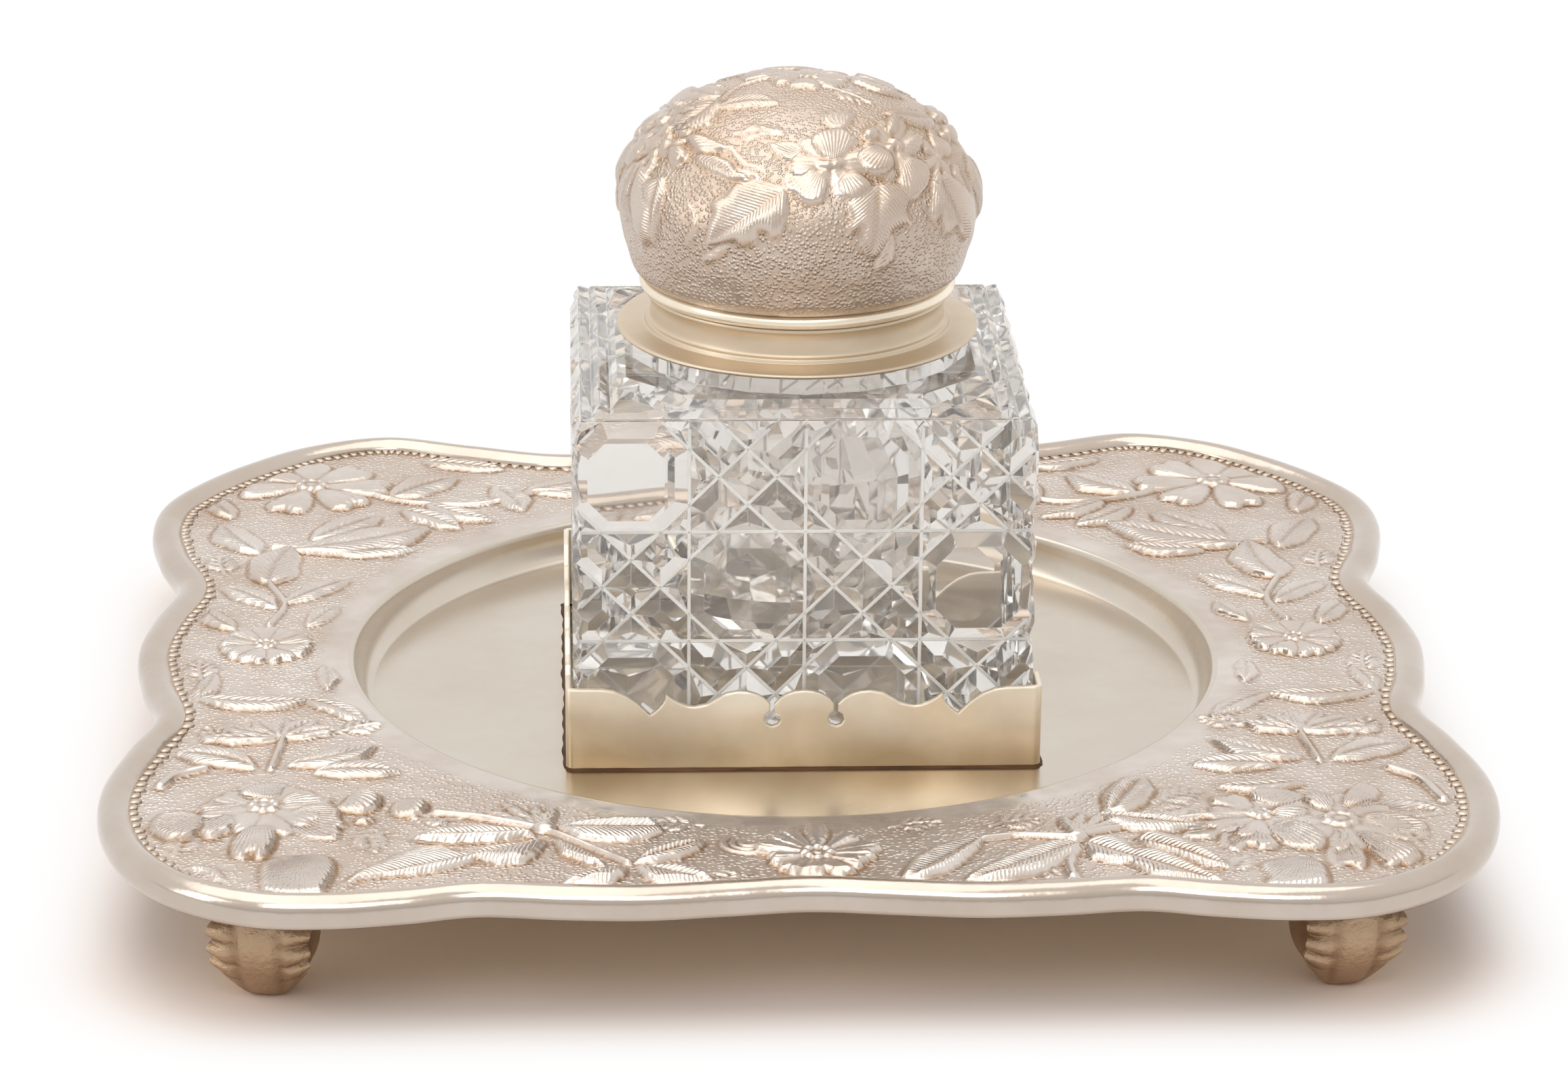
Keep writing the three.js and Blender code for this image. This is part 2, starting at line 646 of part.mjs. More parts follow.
function lid() {
  const beadTop = lidBottom + beadHeight;
  const outer = [[lidFootRadius, lidBottom], [lidFootRadius, beadTop + seatGap], ...domeLine()];
  const inner = offsetLine(outer, lidSheet);
  inner[0] = [lidFootRadius - lidSheet, lidBottom];
  inner[inner.length - 1] = [0, lidBottom + lidHeight - lidSheet];
  return turned([...outer, ...inner.reverse()]);
}

function lidBead() {
  const inside = lidFootRadius + seatGap;
  const swell = beadRadius - inside;
  const points = [[inside, lidBottom]];
  for (let i = 0; i <= curveSteps; i += 1) {
    const turn = (i / curveSteps - 0.5) * Math.PI;
    points.push([
      inside + swell * (beadFlatShare + (1 - beadFlatShare) * Math.cos(turn)),
      lidBottom + beadHeight * (1 + Math.sin(turn)) / 2,
    ]);
  }
  points.push([inside, lidBottom + beadHeight]);
  return turned(points);
}

// Room that the hinge leaves must leave free: the lid with its bead, and the collar.
function lidRoom() {
  const line = [[beadRadius, lidBottom], [beadRadius, lidBottom + beadHeight], ...domeLine()];
  const wide = offsetLine(line, -turnGap);
  wide[0] = [beadRadius + turnGap, lidBottom - turnGap];
  return solid(turned([[0, lidBottom - turnGap], ...wide.slice(0, -1), [0, wide.at(-1)[1]]]));
}

function collarRoom() {
  const wide = offsetLine(collarOutside(), -seatGap);
  wide[wide.length - 1][1] = collarTop + overrun;
  wide[0][1] = collarBottom - overrun;
  return solid(turned([[0, collarBottom - overrun], ...wide, [0, collarTop + overrun]]));
}

// Hinge
const lidKnuckleEnd = lidKnuckle / 2;
const barrelEnd = lidKnuckleEnd + turnGap + collarKnuckle;

function lidHinge() {
  const outside = hingeY + leafThickness;
  const leaf = solid(box(
    [-lidKnuckleEnd, hingeY - barrelRadius, hingeZ],
    [lidKnuckleEnd, outside, hingeZ + leafHeight],
  )).subtract(lidRoom());
  const knuckle = solid(barrel(barrelRadius, -lidKnuckleEnd, lidKnuckleEnd));
  const bore = solid(barrel(pinRadius + pinClearance, -barrelEnd, barrelEnd));
  return geometryOf(leaf.add(knuckle).subtract(bore));
}

function collarHinge() {
  const outside = hingeY + leafThickness;
  const gap = lidKnuckleEnd + turnGap;
  const bearer = solid(box(
    [-barrelEnd, collarBore, hingeZ - bearerHeight], [barrelEnd, outside, hingeZ],
  )).subtract(collarRoom()).subtract(lidRoom());
  const knuckles = solid(barrel(barrelRadius, -barrelEnd, barrelEnd));
  const middle = solid(barrel(barrelRadius + turnGap, -gap, gap));
  const above = solid(box(
    [-gap, hingeY - barrelRadius - turnGap, hingeZ - barrelRadius],
    [gap, outside + overrun, hingeZ + barrelRadius + overrun],
  ));
  const bore = solid(barrel(pinRadius + pinClearance, -barrelEnd - overrun, barrelEnd + overrun));
  return geometryOf(bearer.add(knuckles).subtract(middle).subtract(above).subtract(bore));
}

function hingePin() {
  return closedGeometry(barrel(pinRadius, -barrelEnd - pinHead, barrelEnd + pinHead));
}

// Finishes
const silver = (color, roughness) => (
  new THREE.MeshStandardMaterial({ color, roughness, metalness: 1, flatShading: true })
);
const plaster = new THREE.MeshStandardMaterial({ color: 0xe6e0d2, roughness: 0.9, metalness: 0 });
const cutGlass = new THREE.MeshStandardMaterial({
  color: 0xe4e6e4, roughness: 0.03, metalness: 0, transparent: true, opacity: 0.45, flatShading: true,
});

function piece(name, geometry, material) {
  const mesh = new THREE.Mesh(geometry, material);
  mesh.name = name;
  return mesh;
}

const inkstand = new THREE.Group();
inkstand.add(piece('tray_plate', trayPlate(), silver(0xd2c8bc, 0.3)));
inkstand.add(piece('tray_rim', trayRim(), silver(0xd8cfc0, 0.15)));

const footColor = 0xa68c68;
for (const [depthName, deep, turnSide] of [
  ['front', footInsetFront - trayDepth / 2, 0], ['back', trayDepth / 2 - footInsetBack, Math.PI],
]) {
  for (const [sideName, side] of [['left', -1], ['right', 1]]) {
    const foot = piece(`foot_${depthName}_${sideName}`, castFoot(), silver(footColor, 0.4));
    foot.position.set(side * (trayWidth / 2 - footInsetSide), deep, 0);
    foot.rotation.z = turnSide + side * (turnSide ? -footTurn : footTurn);
    inkstand.add(foot);
  }
}

const stand = new THREE.Group();
stand.position.x = galleryShiftX;
stand.add(piece('gallery', gallery(), silver(0xd6c49c, 0.2)));
stand.add(piece('inkwell_glass', inkwellGlass(), cutGlass));
stand.add(piece('plaster_ring', plasterRing(), plaster));
stand.add(piece('collar', collar(), silver(0xccb69a, 0.25)));
stand.add(piece('collar_bezel', collarBezel(), silver(0xccb69a, 0.25)));
stand.add(piece('collar_hinge', collarHinge(), silver(0xccb69a, 0.25)));
stand.add(piece('hinge_pin', hingePin(), silver(0xbfae92, 0.3)));
stand.add(piece('lid', lid(), silver(0xd2bc96, 0.35)));
stand.add(piece('lid_bead', lidBead(), silver(0xd2c2a8, 0.2)));
stand.add(piece('lid_hinge', lidHinge(), silver(0xccb69a, 0.25)));
inkstand.add(stand);

export default inkstand;
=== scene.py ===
# %% [markdown]
# # A silver desk inkstand
#
# A lobed silver tray stands on four cast feet. In its round well a square gallery holds a cut
# glass inkwell, which wears a spun collar and an embossed lid on a hinge. The solids come from
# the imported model. This notebook gives them their metalwork: the flowers and leaves that were
# hammered up from behind, the toothed edge of the border wire, and the finish of old silver.

import math

import bpy
import numpy as np
from mathutils import Matrix, Vector


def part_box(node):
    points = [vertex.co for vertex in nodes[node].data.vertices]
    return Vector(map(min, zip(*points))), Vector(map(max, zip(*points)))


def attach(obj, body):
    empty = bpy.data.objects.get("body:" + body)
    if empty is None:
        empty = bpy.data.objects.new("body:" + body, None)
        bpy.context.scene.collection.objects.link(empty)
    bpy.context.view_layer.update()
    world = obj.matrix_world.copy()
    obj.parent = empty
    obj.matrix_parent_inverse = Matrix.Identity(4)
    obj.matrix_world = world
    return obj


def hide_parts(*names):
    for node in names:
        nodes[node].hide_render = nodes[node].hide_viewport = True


MM = 0.001
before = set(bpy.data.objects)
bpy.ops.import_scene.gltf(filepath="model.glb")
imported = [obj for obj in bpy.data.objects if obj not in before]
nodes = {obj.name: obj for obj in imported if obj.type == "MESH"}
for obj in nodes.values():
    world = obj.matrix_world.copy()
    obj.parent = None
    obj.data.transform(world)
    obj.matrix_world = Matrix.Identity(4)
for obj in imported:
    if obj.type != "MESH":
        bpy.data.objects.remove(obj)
scene = bpy.context.scene
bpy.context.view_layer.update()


def box_mm(node):
    """Lowest and highest corner of a solid, in millimetres."""
    low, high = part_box(node)
    return np.array(low) / MM, np.array(high) / MM


plate_low, _ = box_mm("tray_plate")
rim_low, rim_high = box_mm("tray_rim")
glass_low, glass_high = box_mm("inkwell_glass")
gallery_low, gallery_high = box_mm("gallery")
collar_low, _ = box_mm("collar")
bezel_low, bezel_high = box_mm("collar_bezel")
bead_low, bead_high = box_mm("lid_bead")
lid_low, lid_high = box_mm("lid")
rim_crest = 1.7  # mm that the border wire stands above the chased ground
ground_top = rim_high[2] - rim_crest
axis_x = (lid_low[0] + lid_high[0]) / 2
print("tray ground at", round(ground_top, 2), "mm, lid axis at x =", round(axis_x, 2), "mm")

# %% [markdown]
# ## The camera
#
# The photograph looks slightly down on the inkstand through a long lens, from a little to the
# left. The lens, the place and the small tilt were fitted to the circles and corners of the
# object, so the camera is set once, before any piece is made.

# %% Camera
camera_data = bpy.data.cameras.new("camera")
camera_data.sensor_width = 36
camera_data.lens = 122.86
camera = bpy.data.objects.new("camera", camera_data)
scene.collection.objects.link(camera)
camera_back = Vector((-0.0433, -0.9387, 0.3420)).normalized()
camera_right = Vector((0, 0, 1)).cross(camera_back).normalized()
camera_up = camera_back.cross(camera_right)
camera_turn = Matrix((camera_right, camera_up, camera_back)).transposed()
camera_tilt = Matrix.Rotation(math.radians(0.54), 3, "Z")
camera.matrix_world = Matrix.Translation(
    Vector((-35.25, -763.85, 314.58)) * MM
) @ (camera_turn @ camera_tilt).to_4x4()
scene.camera = camera
scene.view_settings.view_transform = "Standard"
print("camera with a lens of", round(camera_data.lens, 1), "mm at", camera.matrix_world.translation)

# %% [markdown]
# ## Nodes and colours
#
# Colours are written as they are picked on a screen, and one function turns them to the linear
# values that the shaders use. Another adds a node with its settings and links, and the ones
# below it are its shorthand for the few kinds of node that come back again and again.

# %% Colour and node helpers


def linear(code):
    """A colour like #C8B49A as linear red, green, blue and alpha."""
    parts = [int(code[i : i + 2], 16) / 255 for i in (1, 3, 5)]
    return [p / 12.92 if p <= 0.04045 else ((p + 0.055) / 1.055) ** 2.4 for p in parts] + [1]


def add(tree, kind, settings=None, **inputs):
    """Adds a node. Inputs are values, or sockets to link; a space in a name is written as _."""
    node = tree.nodes.new(kind)
    for key, value in (settings or {}).items():
        setattr(node, key, value)
    for key, value in inputs.items():
        socket = node.inputs[int(key[1:]) if key[1:].isdigit() else key.replace("_", " ")]
        if isinstance(value, bpy.types.NodeSocket):
            tree.links.new(value, socket)
        else:
            socket.default_value = value
    return node


def maths(tree, operation, *values, clamp=False):
    """One step of arithmetic on numbers and sockets."""
    inputs = {f"_{place}": value for place, value in enumerate(values)}
    settings = {"operation": operation, "use_clamp": clamp}
    return add(tree, "ShaderNodeMath", settings, **inputs).outputs[0]


def ramp(tree, value, low, high, start=0.0, end=1.0, curve="SMOOTHSTEP"):
    """Maps low to start and high to end, with nothing past them and soft ends unless LINEAR."""
    return add(
        tree, "ShaderNodeMapRange", {"interpolation_type": curve},
        Value=value, From_Min=low, From_Max=high, To_Min=start, To_Max=end,
    ).outputs[0]


def blend(tree, amount, first, second, kind="RGBA"):
    """A mix of two colours, vectors or numbers."""
    place, result = {"FLOAT": (2, 0), "VECTOR": (4, 1), "RGBA": (6, 2)}[kind]
    inputs = {"_0": amount, f"_{place}": first, f"_{place + 1}": second}
    return add(tree, "ShaderNodeMix", {"data_type": kind}, **inputs).outputs[result]


def either(tree, amount, first, second):
    """A mix of two shaders."""
    return add(tree, "ShaderNodeMixShader", _0=amount, _1=first, _2=second).outputs[0]


def noise(tree, where, size_mm, detail, rough=0.5):
    """Cloudy noise from 0 to 1 whose lumps are about size_mm wide."""
    return add(
        tree, "ShaderNodeTexNoise", Vector=where, Scale=1 / (size_mm * MM), Detail=detail,
        Roughness=rough,
    ).outputs["Fac"]


def bump(tree, height, height_mm, normal=None, invert=False, **others):
    """The normal of a height from 0 to 1 times height_mm, laid over another normal if given."""
    if normal is not None:
        others["Normal"] = normal
    return add(
        tree, "ShaderNodeBump", {"invert": invert}, Strength=1.0, Distance=height_mm * MM,
        Height=height, **others,
    ).outputs["Normal"]


def edge_mask(tree, radius_mm, sharpest, most):
    """From 0 on flats to most on sharp edges, where a rounded normal leaves the true one.

    The rounded normal is handed back too.
    """
    rounded = add(tree, "ShaderNodeBevel", {"samples": 4}, Radius=radius_mm * MM).outputs[0]
    true = add(tree, "ShaderNodeNewGeometry").outputs["Normal"]
    agree = add(tree, "ShaderNodeVectorMath", {"operation": "DOT_PRODUCT"}, _0=rounded, _1=true)
    return ramp(tree, agree.outputs["Value"], sharpest, 0.995, most, 0.0, "LINEAR"), rounded


def stored(tree, name):
    """A number that the mesh carries for each of its points."""
    return add(tree, "ShaderNodeAttribute", {"attribute_name": name}).outputs["Fac"]


def new_material(name):
    """An empty material, its node tree, its surface socket and its object coordinates."""
    material = bpy.data.materials.new(name)
    material.use_nodes = True
    tree = material.node_tree
    tree.nodes.clear()
    surface = add(tree, "ShaderNodeOutputMaterial").inputs["Surface"]
    return material, tree, surface, add(tree, "ShaderNodeTexCoord").outputs["Object"]


# %% [markdown]
# ## The studio
#
# The photograph was taken on a white sweep with soft light all round. The world is a pale
# room: white behind the object, where the sweep is, and a little darker towards the camera, so
# that polished silver has something to show. Three soft boxes, overhead, in front and at the
# left, give the bright lines on the wire and the soft shadow under the tray.

# %% Pale room
world = bpy.data.worlds.new("pale room")
scene.world = world
world.use_nodes = True
room = world.node_tree
room.nodes.clear()
direction = add(room, "ShaderNodeTexCoord").outputs["Generated"]
parts = add(room, "ShaderNodeSeparateXYZ", Vector=direction).outputs
# Brighter away from the camera and overhead, with a dimmer band along the horizon.
towards_camera = ramp(room, parts["Y"], -0.9, 0.0, 0.78, 0.92)
level = maths(room, "ADD", towards_camera, ramp(room, parts["Z"], 0.1, 0.8, 0.0, 0.08))
rising = ramp(room, parts["Z"], 0.08, 0.2)
sinking = ramp(room, parts["Z"], -0.1, -0.02, 1.0, 0.0)
clear_of_band = maths(room, "MAXIMUM", rising, sinking)
band = ramp(room, clear_of_band, 0.0, 1.0, 0.82, 1.0, "LINEAR")
banded = maths(room, "MULTIPLY", level, band)
ray = add(room, "ShaderNodeLightPath").outputs
softer = blend(room, ray["Is Transmission Ray"], banded, 0.86, "FLOAT")
shade = add(room, "ShaderNodeBackground", Color=linear("#FFFEFC"), Strength=softer).outputs[0]
# Pure white for the camera, and for mirrored and bent rays that meet the sweep at the back.
white = add(room, "ShaderNodeBackground", Color=linear("#FFFFFF"), Strength=1.0).outputs[0]
mirrored_or_bent = maths(room, "MAXIMUM", ray["Is Glossy Ray"], ray["Is Transmission Ray"])
backdrop_rays = maths(room, "MULTIPLY", mirrored_or_bent, ramp(room, parts["Y"], 0.0, 0.3))
sees_white = maths(room, "MAXIMUM", backdrop_rays, ray["Is Camera Ray"])
add(room, "ShaderNodeOutputWorld", Surface=either(room, sees_white, shade, white))
print(len(room.nodes), "nodes in the room")

# %% Soft boxes
# Each one: its name, its place and the height it is aimed at, its size, and its watts.
for name, place, aim, size, power in (
    ("overhead soft box", (-0.15, 0.1, 0.8), 0.03, (0.9, 0.8), 2.3),
    ("front soft box", (-0.1, -0.65, 0.75), 0.03, (0.6, 0.45), 1.9),
    ("left soft box", (-0.8, -0.3, 0.4), 0.05, (0.3, 0.6), 1.1),
):
    lamp = bpy.data.lights.new(name, "AREA")
    lamp.shape = "RECTANGLE"
    lamp.size, lamp.size_y = size
    lamp.energy = power
    box = bpy.data.objects.new(name, lamp)
    box.location = place
    box.rotation_euler = (Vector((0, 0, aim)) - Vector(place)).to_track_quat("-Z", "Y").to_euler()
    scene.collection.objects.link(box)
    print(name, power, "W")

# %% White paper sweep
floor_mesh = bpy.data.meshes.new("table")
floor_mesh.from_pydata([(-4, -4, 0), (4, -4, 0), (4, 4, 0), (-4, 4, 0)], [], [(0, 1, 2, 3)])
floor = bpy.data.objects.new("table", floor_mesh)
scene.collection.objects.link(floor)
# Matt white paper: it shows only the soft shadow, and is pure white everywhere else; close
# to the tray its colour is tinted brown, which is painted warm shade.
paper, sweep, surface, where = new_material("white paper sweep")
ray = add(sweep, "ShaderNodeLightPath").outputs
straight_or_bent = maths(sweep, "MAXIMUM", ray["Is Camera Ray"], ray["Is Transmission Ray"])
looked_at = maths(sweep, "MAXIMUM", straight_or_bent, ray["Is Glossy Ray"])
# How far a place lies outside a rectangle of 152 by 144 mm, which is a little smaller than the
# tray: close by, the paper shows its shadow, and further out it turns to pure white.
mirrored = add(sweep, "ShaderNodeVectorMath", {"operation": "ABSOLUTE"}, _0=where).outputs[0]
beyond = add(
    sweep, "ShaderNodeVectorMath", {"operation": "SUBTRACT"},
    _0=mirrored, _1=(76 * MM, 72 * MM, 0),
).outputs[0]
outside = add(
    sweep, "ShaderNodeVectorMath", {"operation": "MAXIMUM"}, _0=beyond, _1=(0, 0, 0)
).outputs[0]
away = add(sweep, "ShaderNodeVectorMath", {"operation": "LENGTH"}, _0=outside).outputs["Value"]
fade = ramp(sweep, away, 14 * MM, 38 * MM, curve="SMOOTHERSTEP")
close = ramp(sweep, away, 2 * MM, 18 * MM)
# painted shade: close to the tray the paper's own colour is brown, so that its shadow there looks
# warm
painted_shade_tint = blend(sweep, close, linear("#FFEBD6"), linear("#E4D6CD"))
near_by = add(sweep, "ShaderNodeBsdfDiffuse", Color=painted_shade_tint).outputs[0]
clean = add(sweep, "ShaderNodeEmission", Color=linear("#FFFFFF"), Strength=1.0).outputs[0]
matt = add(sweep, "ShaderNodeBsdfDiffuse", Color=linear("#E6E0DA")).outputs[0]
faded = either(sweep, fade, near_by, clean)
sweep.links.new(either(sweep, looked_at, matt, faded), surface)
floor_mesh.materials.append(paper)
print(len(sweep.nodes), "nodes in the paper")

# %% [markdown]
# ## Silver
#
# Old silver is a warm grey mirror. Where it is polished it stays sharp; where it was chased it
# is satin, because the hammer left fine marks; and in every hollow a brownish tarnish stays
# that the cloth can't reach, deepened here with painted shade at the foot of each raised shape.
# One recipe makes all of these: a clean colour, a toned colour, a roughness for each, and the
# depth of the hollow, which comes with the mesh as an attribute. The same toned colour also
# paints shade on the lower part of a strip.

# %% Silver recipe
STRIP_MM = 13  # height of the gallery's strip


def silver(
    name, clean, toned, rough, grain_mm, grain_depth, hollow=False, stipple=None, ribs=0,
    waves=None, foot=None, lean=0, worn=False,
):
    """Silver whose colour and roughness drift in broad clouds, with fine handling marks.

    grain_mm and grain_depth are the size and the height of the finest marks. hollow darkens
    the recesses by the mesh's own "hollow", from 0 to 1: tarnish that the cloth can't reach,
    with painted shade at the foot of each raised shape. stipple is (size in mm, height in mm)
    of the punch marks where the mesh's "ground" is 1, which is also rougher than the high
    parts that the polishing cloth reaches. ribs is the height in mm of the chased lines, whose
    count across each leaf comes with the mesh as "phase" and whose strength as "comb". waves
    is (size in mm, height in mm) of the slow unevenness that a hammer leaves. foot is
    (low, high) in mm: painted shade, in the toned colour, grows from none at high to its most
    at low. lean is how far in mm the sheet bows back from there to its upper edge, as the
    square of the height. worn rounds the sharp edges, which handling has polished.
    """
    material, tree, surface, where = new_material(name)
    clouds = noise(tree, where, 1000 / 55, 4.0, 0.6)  # 55 to the metre
    amount = ramp(tree, clouds, 0.35, 0.7, 0.0, 0.4, "LINEAR")
    gloss = ramp(tree, clouds, 0.3, 0.7, *rough, "LINEAR")
    marks = noise(tree, where, grain_mm, 3.0, 0.6)
    swell = None
    if waves:
        size_mm, height_mm = waves
        swell = bump(tree, noise(tree, where, size_mm, 0.0), height_mm, Filter_Width=2.0)
    normal = bump(tree, marks, grain_depth, swell)
    # painted shade: towards the low end of foot the colour turns to the toned one
    if foot:
        up = add(tree, "ShaderNodeSeparateXYZ", Vector=where).outputs["Z"]
        low, high = foot
        amount = maths(
            tree, "ADD", amount, ramp(tree, up, low * MM, high * MM, 0.8, 0.0), clamp=True
        )
    if lean:
        climbed = ramp(tree, up, low * MM, (low + STRIP_MM) * MM, curve="LINEAR")
        bowed = maths(tree, "POWER", climbed, 2.0)
        normal = bump(tree, bowed, lean, normal, invert=True, Filter_Width=2.0)
    # tarnish in the recesses, with painted shade at the foot of each raised shape
    if hollow:
        amount = maths(tree, "ADD", amount, stored(tree, "hollow"), clamp=True)
    if stipple:
        size_mm, height_mm = stipple
        cells = add(
            tree, "ShaderNodeTexVoronoi", {"feature": "SMOOTH_F1"},
            Vector=where, Scale=1 / (size_mm * MM), Smoothness=0.35,
        )
        mask = stored(tree, "ground")
        pits = ramp(tree, cells.outputs["Distance"], 0.15, 0.6)
        dimples = maths(tree, "MULTIPLY", pits, mask)
        # tone gathers in the pits, and the whole matted ground is rougher
        normal = bump(tree, dimples, height_mm, normal, invert=True)
        amount = maths(tree, "MULTIPLY_ADD", dimples, 0.14, amount, clamp=True)
        gloss = maths(tree, "MULTIPLY_ADD", mask, 0.13, gloss)
    if ribs:
        # one wave for each step of the phase, set off a little by the grain, as a hand would
        wander = maths(tree, "MULTIPLY_ADD", marks, 0.5, stored(tree, "phase"))
        lines = maths(tree, "SINE", maths(tree, "MULTIPLY", wander, 2 * math.pi))
        normal = bump(tree, maths(tree, "MULTIPLY", lines, stored(tree, "comb")), ribs, normal)
    if worn:
        edge, rounded = edge_mask(tree, 0.6, 0.9, 1.0)
        normal = blend(tree, edge, normal, rounded, "VECTOR")
    shader = add(
        tree, "ShaderNodeBsdfPrincipled", Metallic=1.0, Roughness=gloss, Normal=normal,
        Base_Color=blend(tree, amount, linear(clean), linear(toned)),
    )
    tree.links.new(shader.outputs[0], surface)
    print(f"{name}: {len(tree.nodes)} nodes")
    return material


# Chased sheet silver: raised parts rubbed bright by the cloth, a matted ground with round
# punch marks of three quarters of a millimetre, fine chased lines, and brown tone in the
# hollows, which is tarnish and painted shade, so the eye reads each flower by its bright top
# and its soft dark outline.
chased_silver = silver(
    "chased silver", "#DED4CB", "#A07F60", (0.19, 0.28), 0.6, 0.012,
    hollow=True, stipple=(0.75, 0.12), ribs=0.05, waves=(3.2, 0.22),
)
# Hand polished sheet: an even, slightly clouded mirror, with marks too fine to be counted.
well_silver = silver("hand polished silver", "#D5CBBE", "#C4B6A4", (0.2, 0.28), 0.6, 0.003)
# Drawn wire: the brightest metal of the tray, a soft mirror that bends the room into long
# light and dark lines; the wave of 5 mm is the dent and swell of a hollow wire.
wire_silver = silver("drawn silver wire", "#CCBFB3", "#B3A08B", (0.13, 0.22), 5.0, 0.08)
# Filed teeth are duller than the wire they belong to, and the gaps between them are brown.
tooth_silver = silver("cut silver teeth", "#DACCBE", "#AE947A", (0.34, 0.46), 0.5, 0.01)
gap_silver = silver("toned silver between teeth", "#987E65", "#7A624C", (0.45, 0.6), 0.4, 0.02)
# Solder and old tarnish in a joint: nearly black brown, rough, with no mirror left.
dark_silver = silver("tarnish in the joints", "#5E4634", "#3E2C20", (0.5, 0.7), 0.4, 0.04)
# Burnished strip: a warm, blurred mirror, bowed back a little at its upper edge, so that it
# shows the light room above, with a worn bright rim. Its lower part is painted darker and
# browner towards the joint, which is painted shade and also dims its reflection in the well.
# The gallery and the bead of the lid wear it; the bead lies far above the painted shade.
burnished_silver = silver(
    "burnished silver strip", "#FFF4E1", "#C6B08F", (0.3, 0.4), 0.8, 0.004,
    waves=(16, 3.0), foot=(13.5, 22), lean=1.2, worn=True,
)
# Sand cast silver: never polished between its ribs, so it is the brownest and the roughest,
# with a skin of small lumps of about one millimetre. Its darkening between the ribs is that
# tarnish together with painted shade.
cast_silver = silver("cast silver", "#C2A689", "#7F6248", (0.38, 0.52), 1.2, 0.34, hollow=True)
# Spun silver, rubbed with oil on the lathe: a satin that gives one broad soft highlight.
spun_silver = silver("spun silver", "#DACBB6", "#C2AC90", (0.4, 0.5), 0.7, 0.004)
# The lid's sheet is thinner and was struck with a smaller punch, about half a millimetre.
# Its hollows are darkened as on the tray: tarnish, with painted shade at the foot of each raised
# shape.
lid_silver = silver(
    "embossed silver", "#D5C7BB", "#B29476", (0.2, 0.3), 0.5, 0.012,
    hollow=True, stipple=(0.55, 0.17), ribs=0.036, waves=(3.0, 0.22),
)

# %% [markdown]
# ## Cut glass
#
# Lead crystal is clear and its cuts are sharp, so almost all of its look comes from the facets
# in the solid: each shows another piece of the room. The shader adds a faint grey, a ripple
# left by the polishing wheel, white edges that are painted highlights, and a coat for the outer
# mirror. Its index is set at 1.4, lower than the 1.54 of real crystal: the solid has fewer and
# larger cuts than the real block, and at the real index they throw back too much of the dark
# tray. Light that has been thrown about inside for long is replaced by a glow in the mean grey
# of the glass, which is painted light.

# %% Crystal
# Crystal: hard bright sparkle in every facet, a second mirror from its coat, and a fine white
# line painted along each edge as a highlight, so the eye can follow the pattern of the cuts.
crystal, tree, surface, where = new_material("cut lead crystal")
glass = add(
    tree, "ShaderNodeBsdfPrincipled", Base_Color=linear("#EFEBE6"), Roughness=0.03, IOR=1.4,
    Coat_Weight=0.6, Coat_Roughness=0.02, Transmission_Weight=1.0,
    Normal=bump(tree, noise(tree, where, 1000 / 90, 1.0), 0.01),
).outputs[0]
haze_and_edge_highlight = add(tree, "ShaderNodeBsdfDiffuse", Color=linear("#F2F0EE")).outputs[0]
ridge, _ = edge_mask(tree, 0.22, 0.8, 0.75)
# a tenth of the light is scattered everywhere as a white haze, and up to three quarters of it
# on the ridges, where the white is a painted highlight
lines = either(tree, ridge, either(tree, 0.1, glass, haze_and_edge_highlight), haze_and_edge_highlight)
most_bends = 6.5  # a ray that passes its seventh surface has been inside for long
bends = add(tree, "ShaderNodeLightPath").outputs["Transmission Depth"]
# painted light: a grey glow, though the glass is no lamp, ends the rays that have been inside for
# long
painted_grey_glow = add(tree, "ShaderNodeEmission", Color=linear("#B4AFA9"), Strength=1.0).outputs[0]
for_long = maths(tree, "GREATER_THAN", bends, most_bends)
tree.links.new(either(tree, for_long, lines, painted_grey_glow), surface)

# Plaster holds the collar on the neck: chalky, cream white and quite matt, with small pores.
plaster, tree, surface, where = new_material("set plaster")
chalk = add(
    tree, "ShaderNodeBsdfPrincipled", Base_Color=linear("#E4DED0"), Roughness=0.9,
    Normal=bump(tree, noise(tree, where, 0.6, 4.0), 0.08),
)
tree.links.new(chalk.outputs[0], surface)

for node, material in (
    ("inkwell_glass", crystal), ("plaster_ring", plaster), ("gallery", burnished_silver),
    ("collar_hinge", spun_silver), ("lid_hinge", spun_silver), ("hinge_pin", spun_silver),
):
    nodes[node].data.materials.clear()
    nodes[node].data.materials.append(material)
    print(f"{node} wears {material.name}")

# %% [markdown]
# ## Surfaces from arrays
#
# Each new piece is a grid of points worked out with numpy. A grid is closed into faces here,
# round one way or both, and handed to the mesh in one step.

# %% Grid helpers


def grid_faces(rows, columns, round_rows=False, round_columns=False):
    """Quads of a grid of points, counter-clockwise when rows go up and columns go right."""
    i = np.arange(rows if round_rows else rows - 1)
    j = np.arange(columns if round_columns else columns - 1)
    i, j = (a.ravel() for a in np.meshgrid(i, j, indexing="ij"))
    up, right = (i + 1) % rows, (j + 1) % columns
    return np.stack(
        [i * columns + j, i * columns + right, up * columns + right, up * columns + j], axis=1
    )


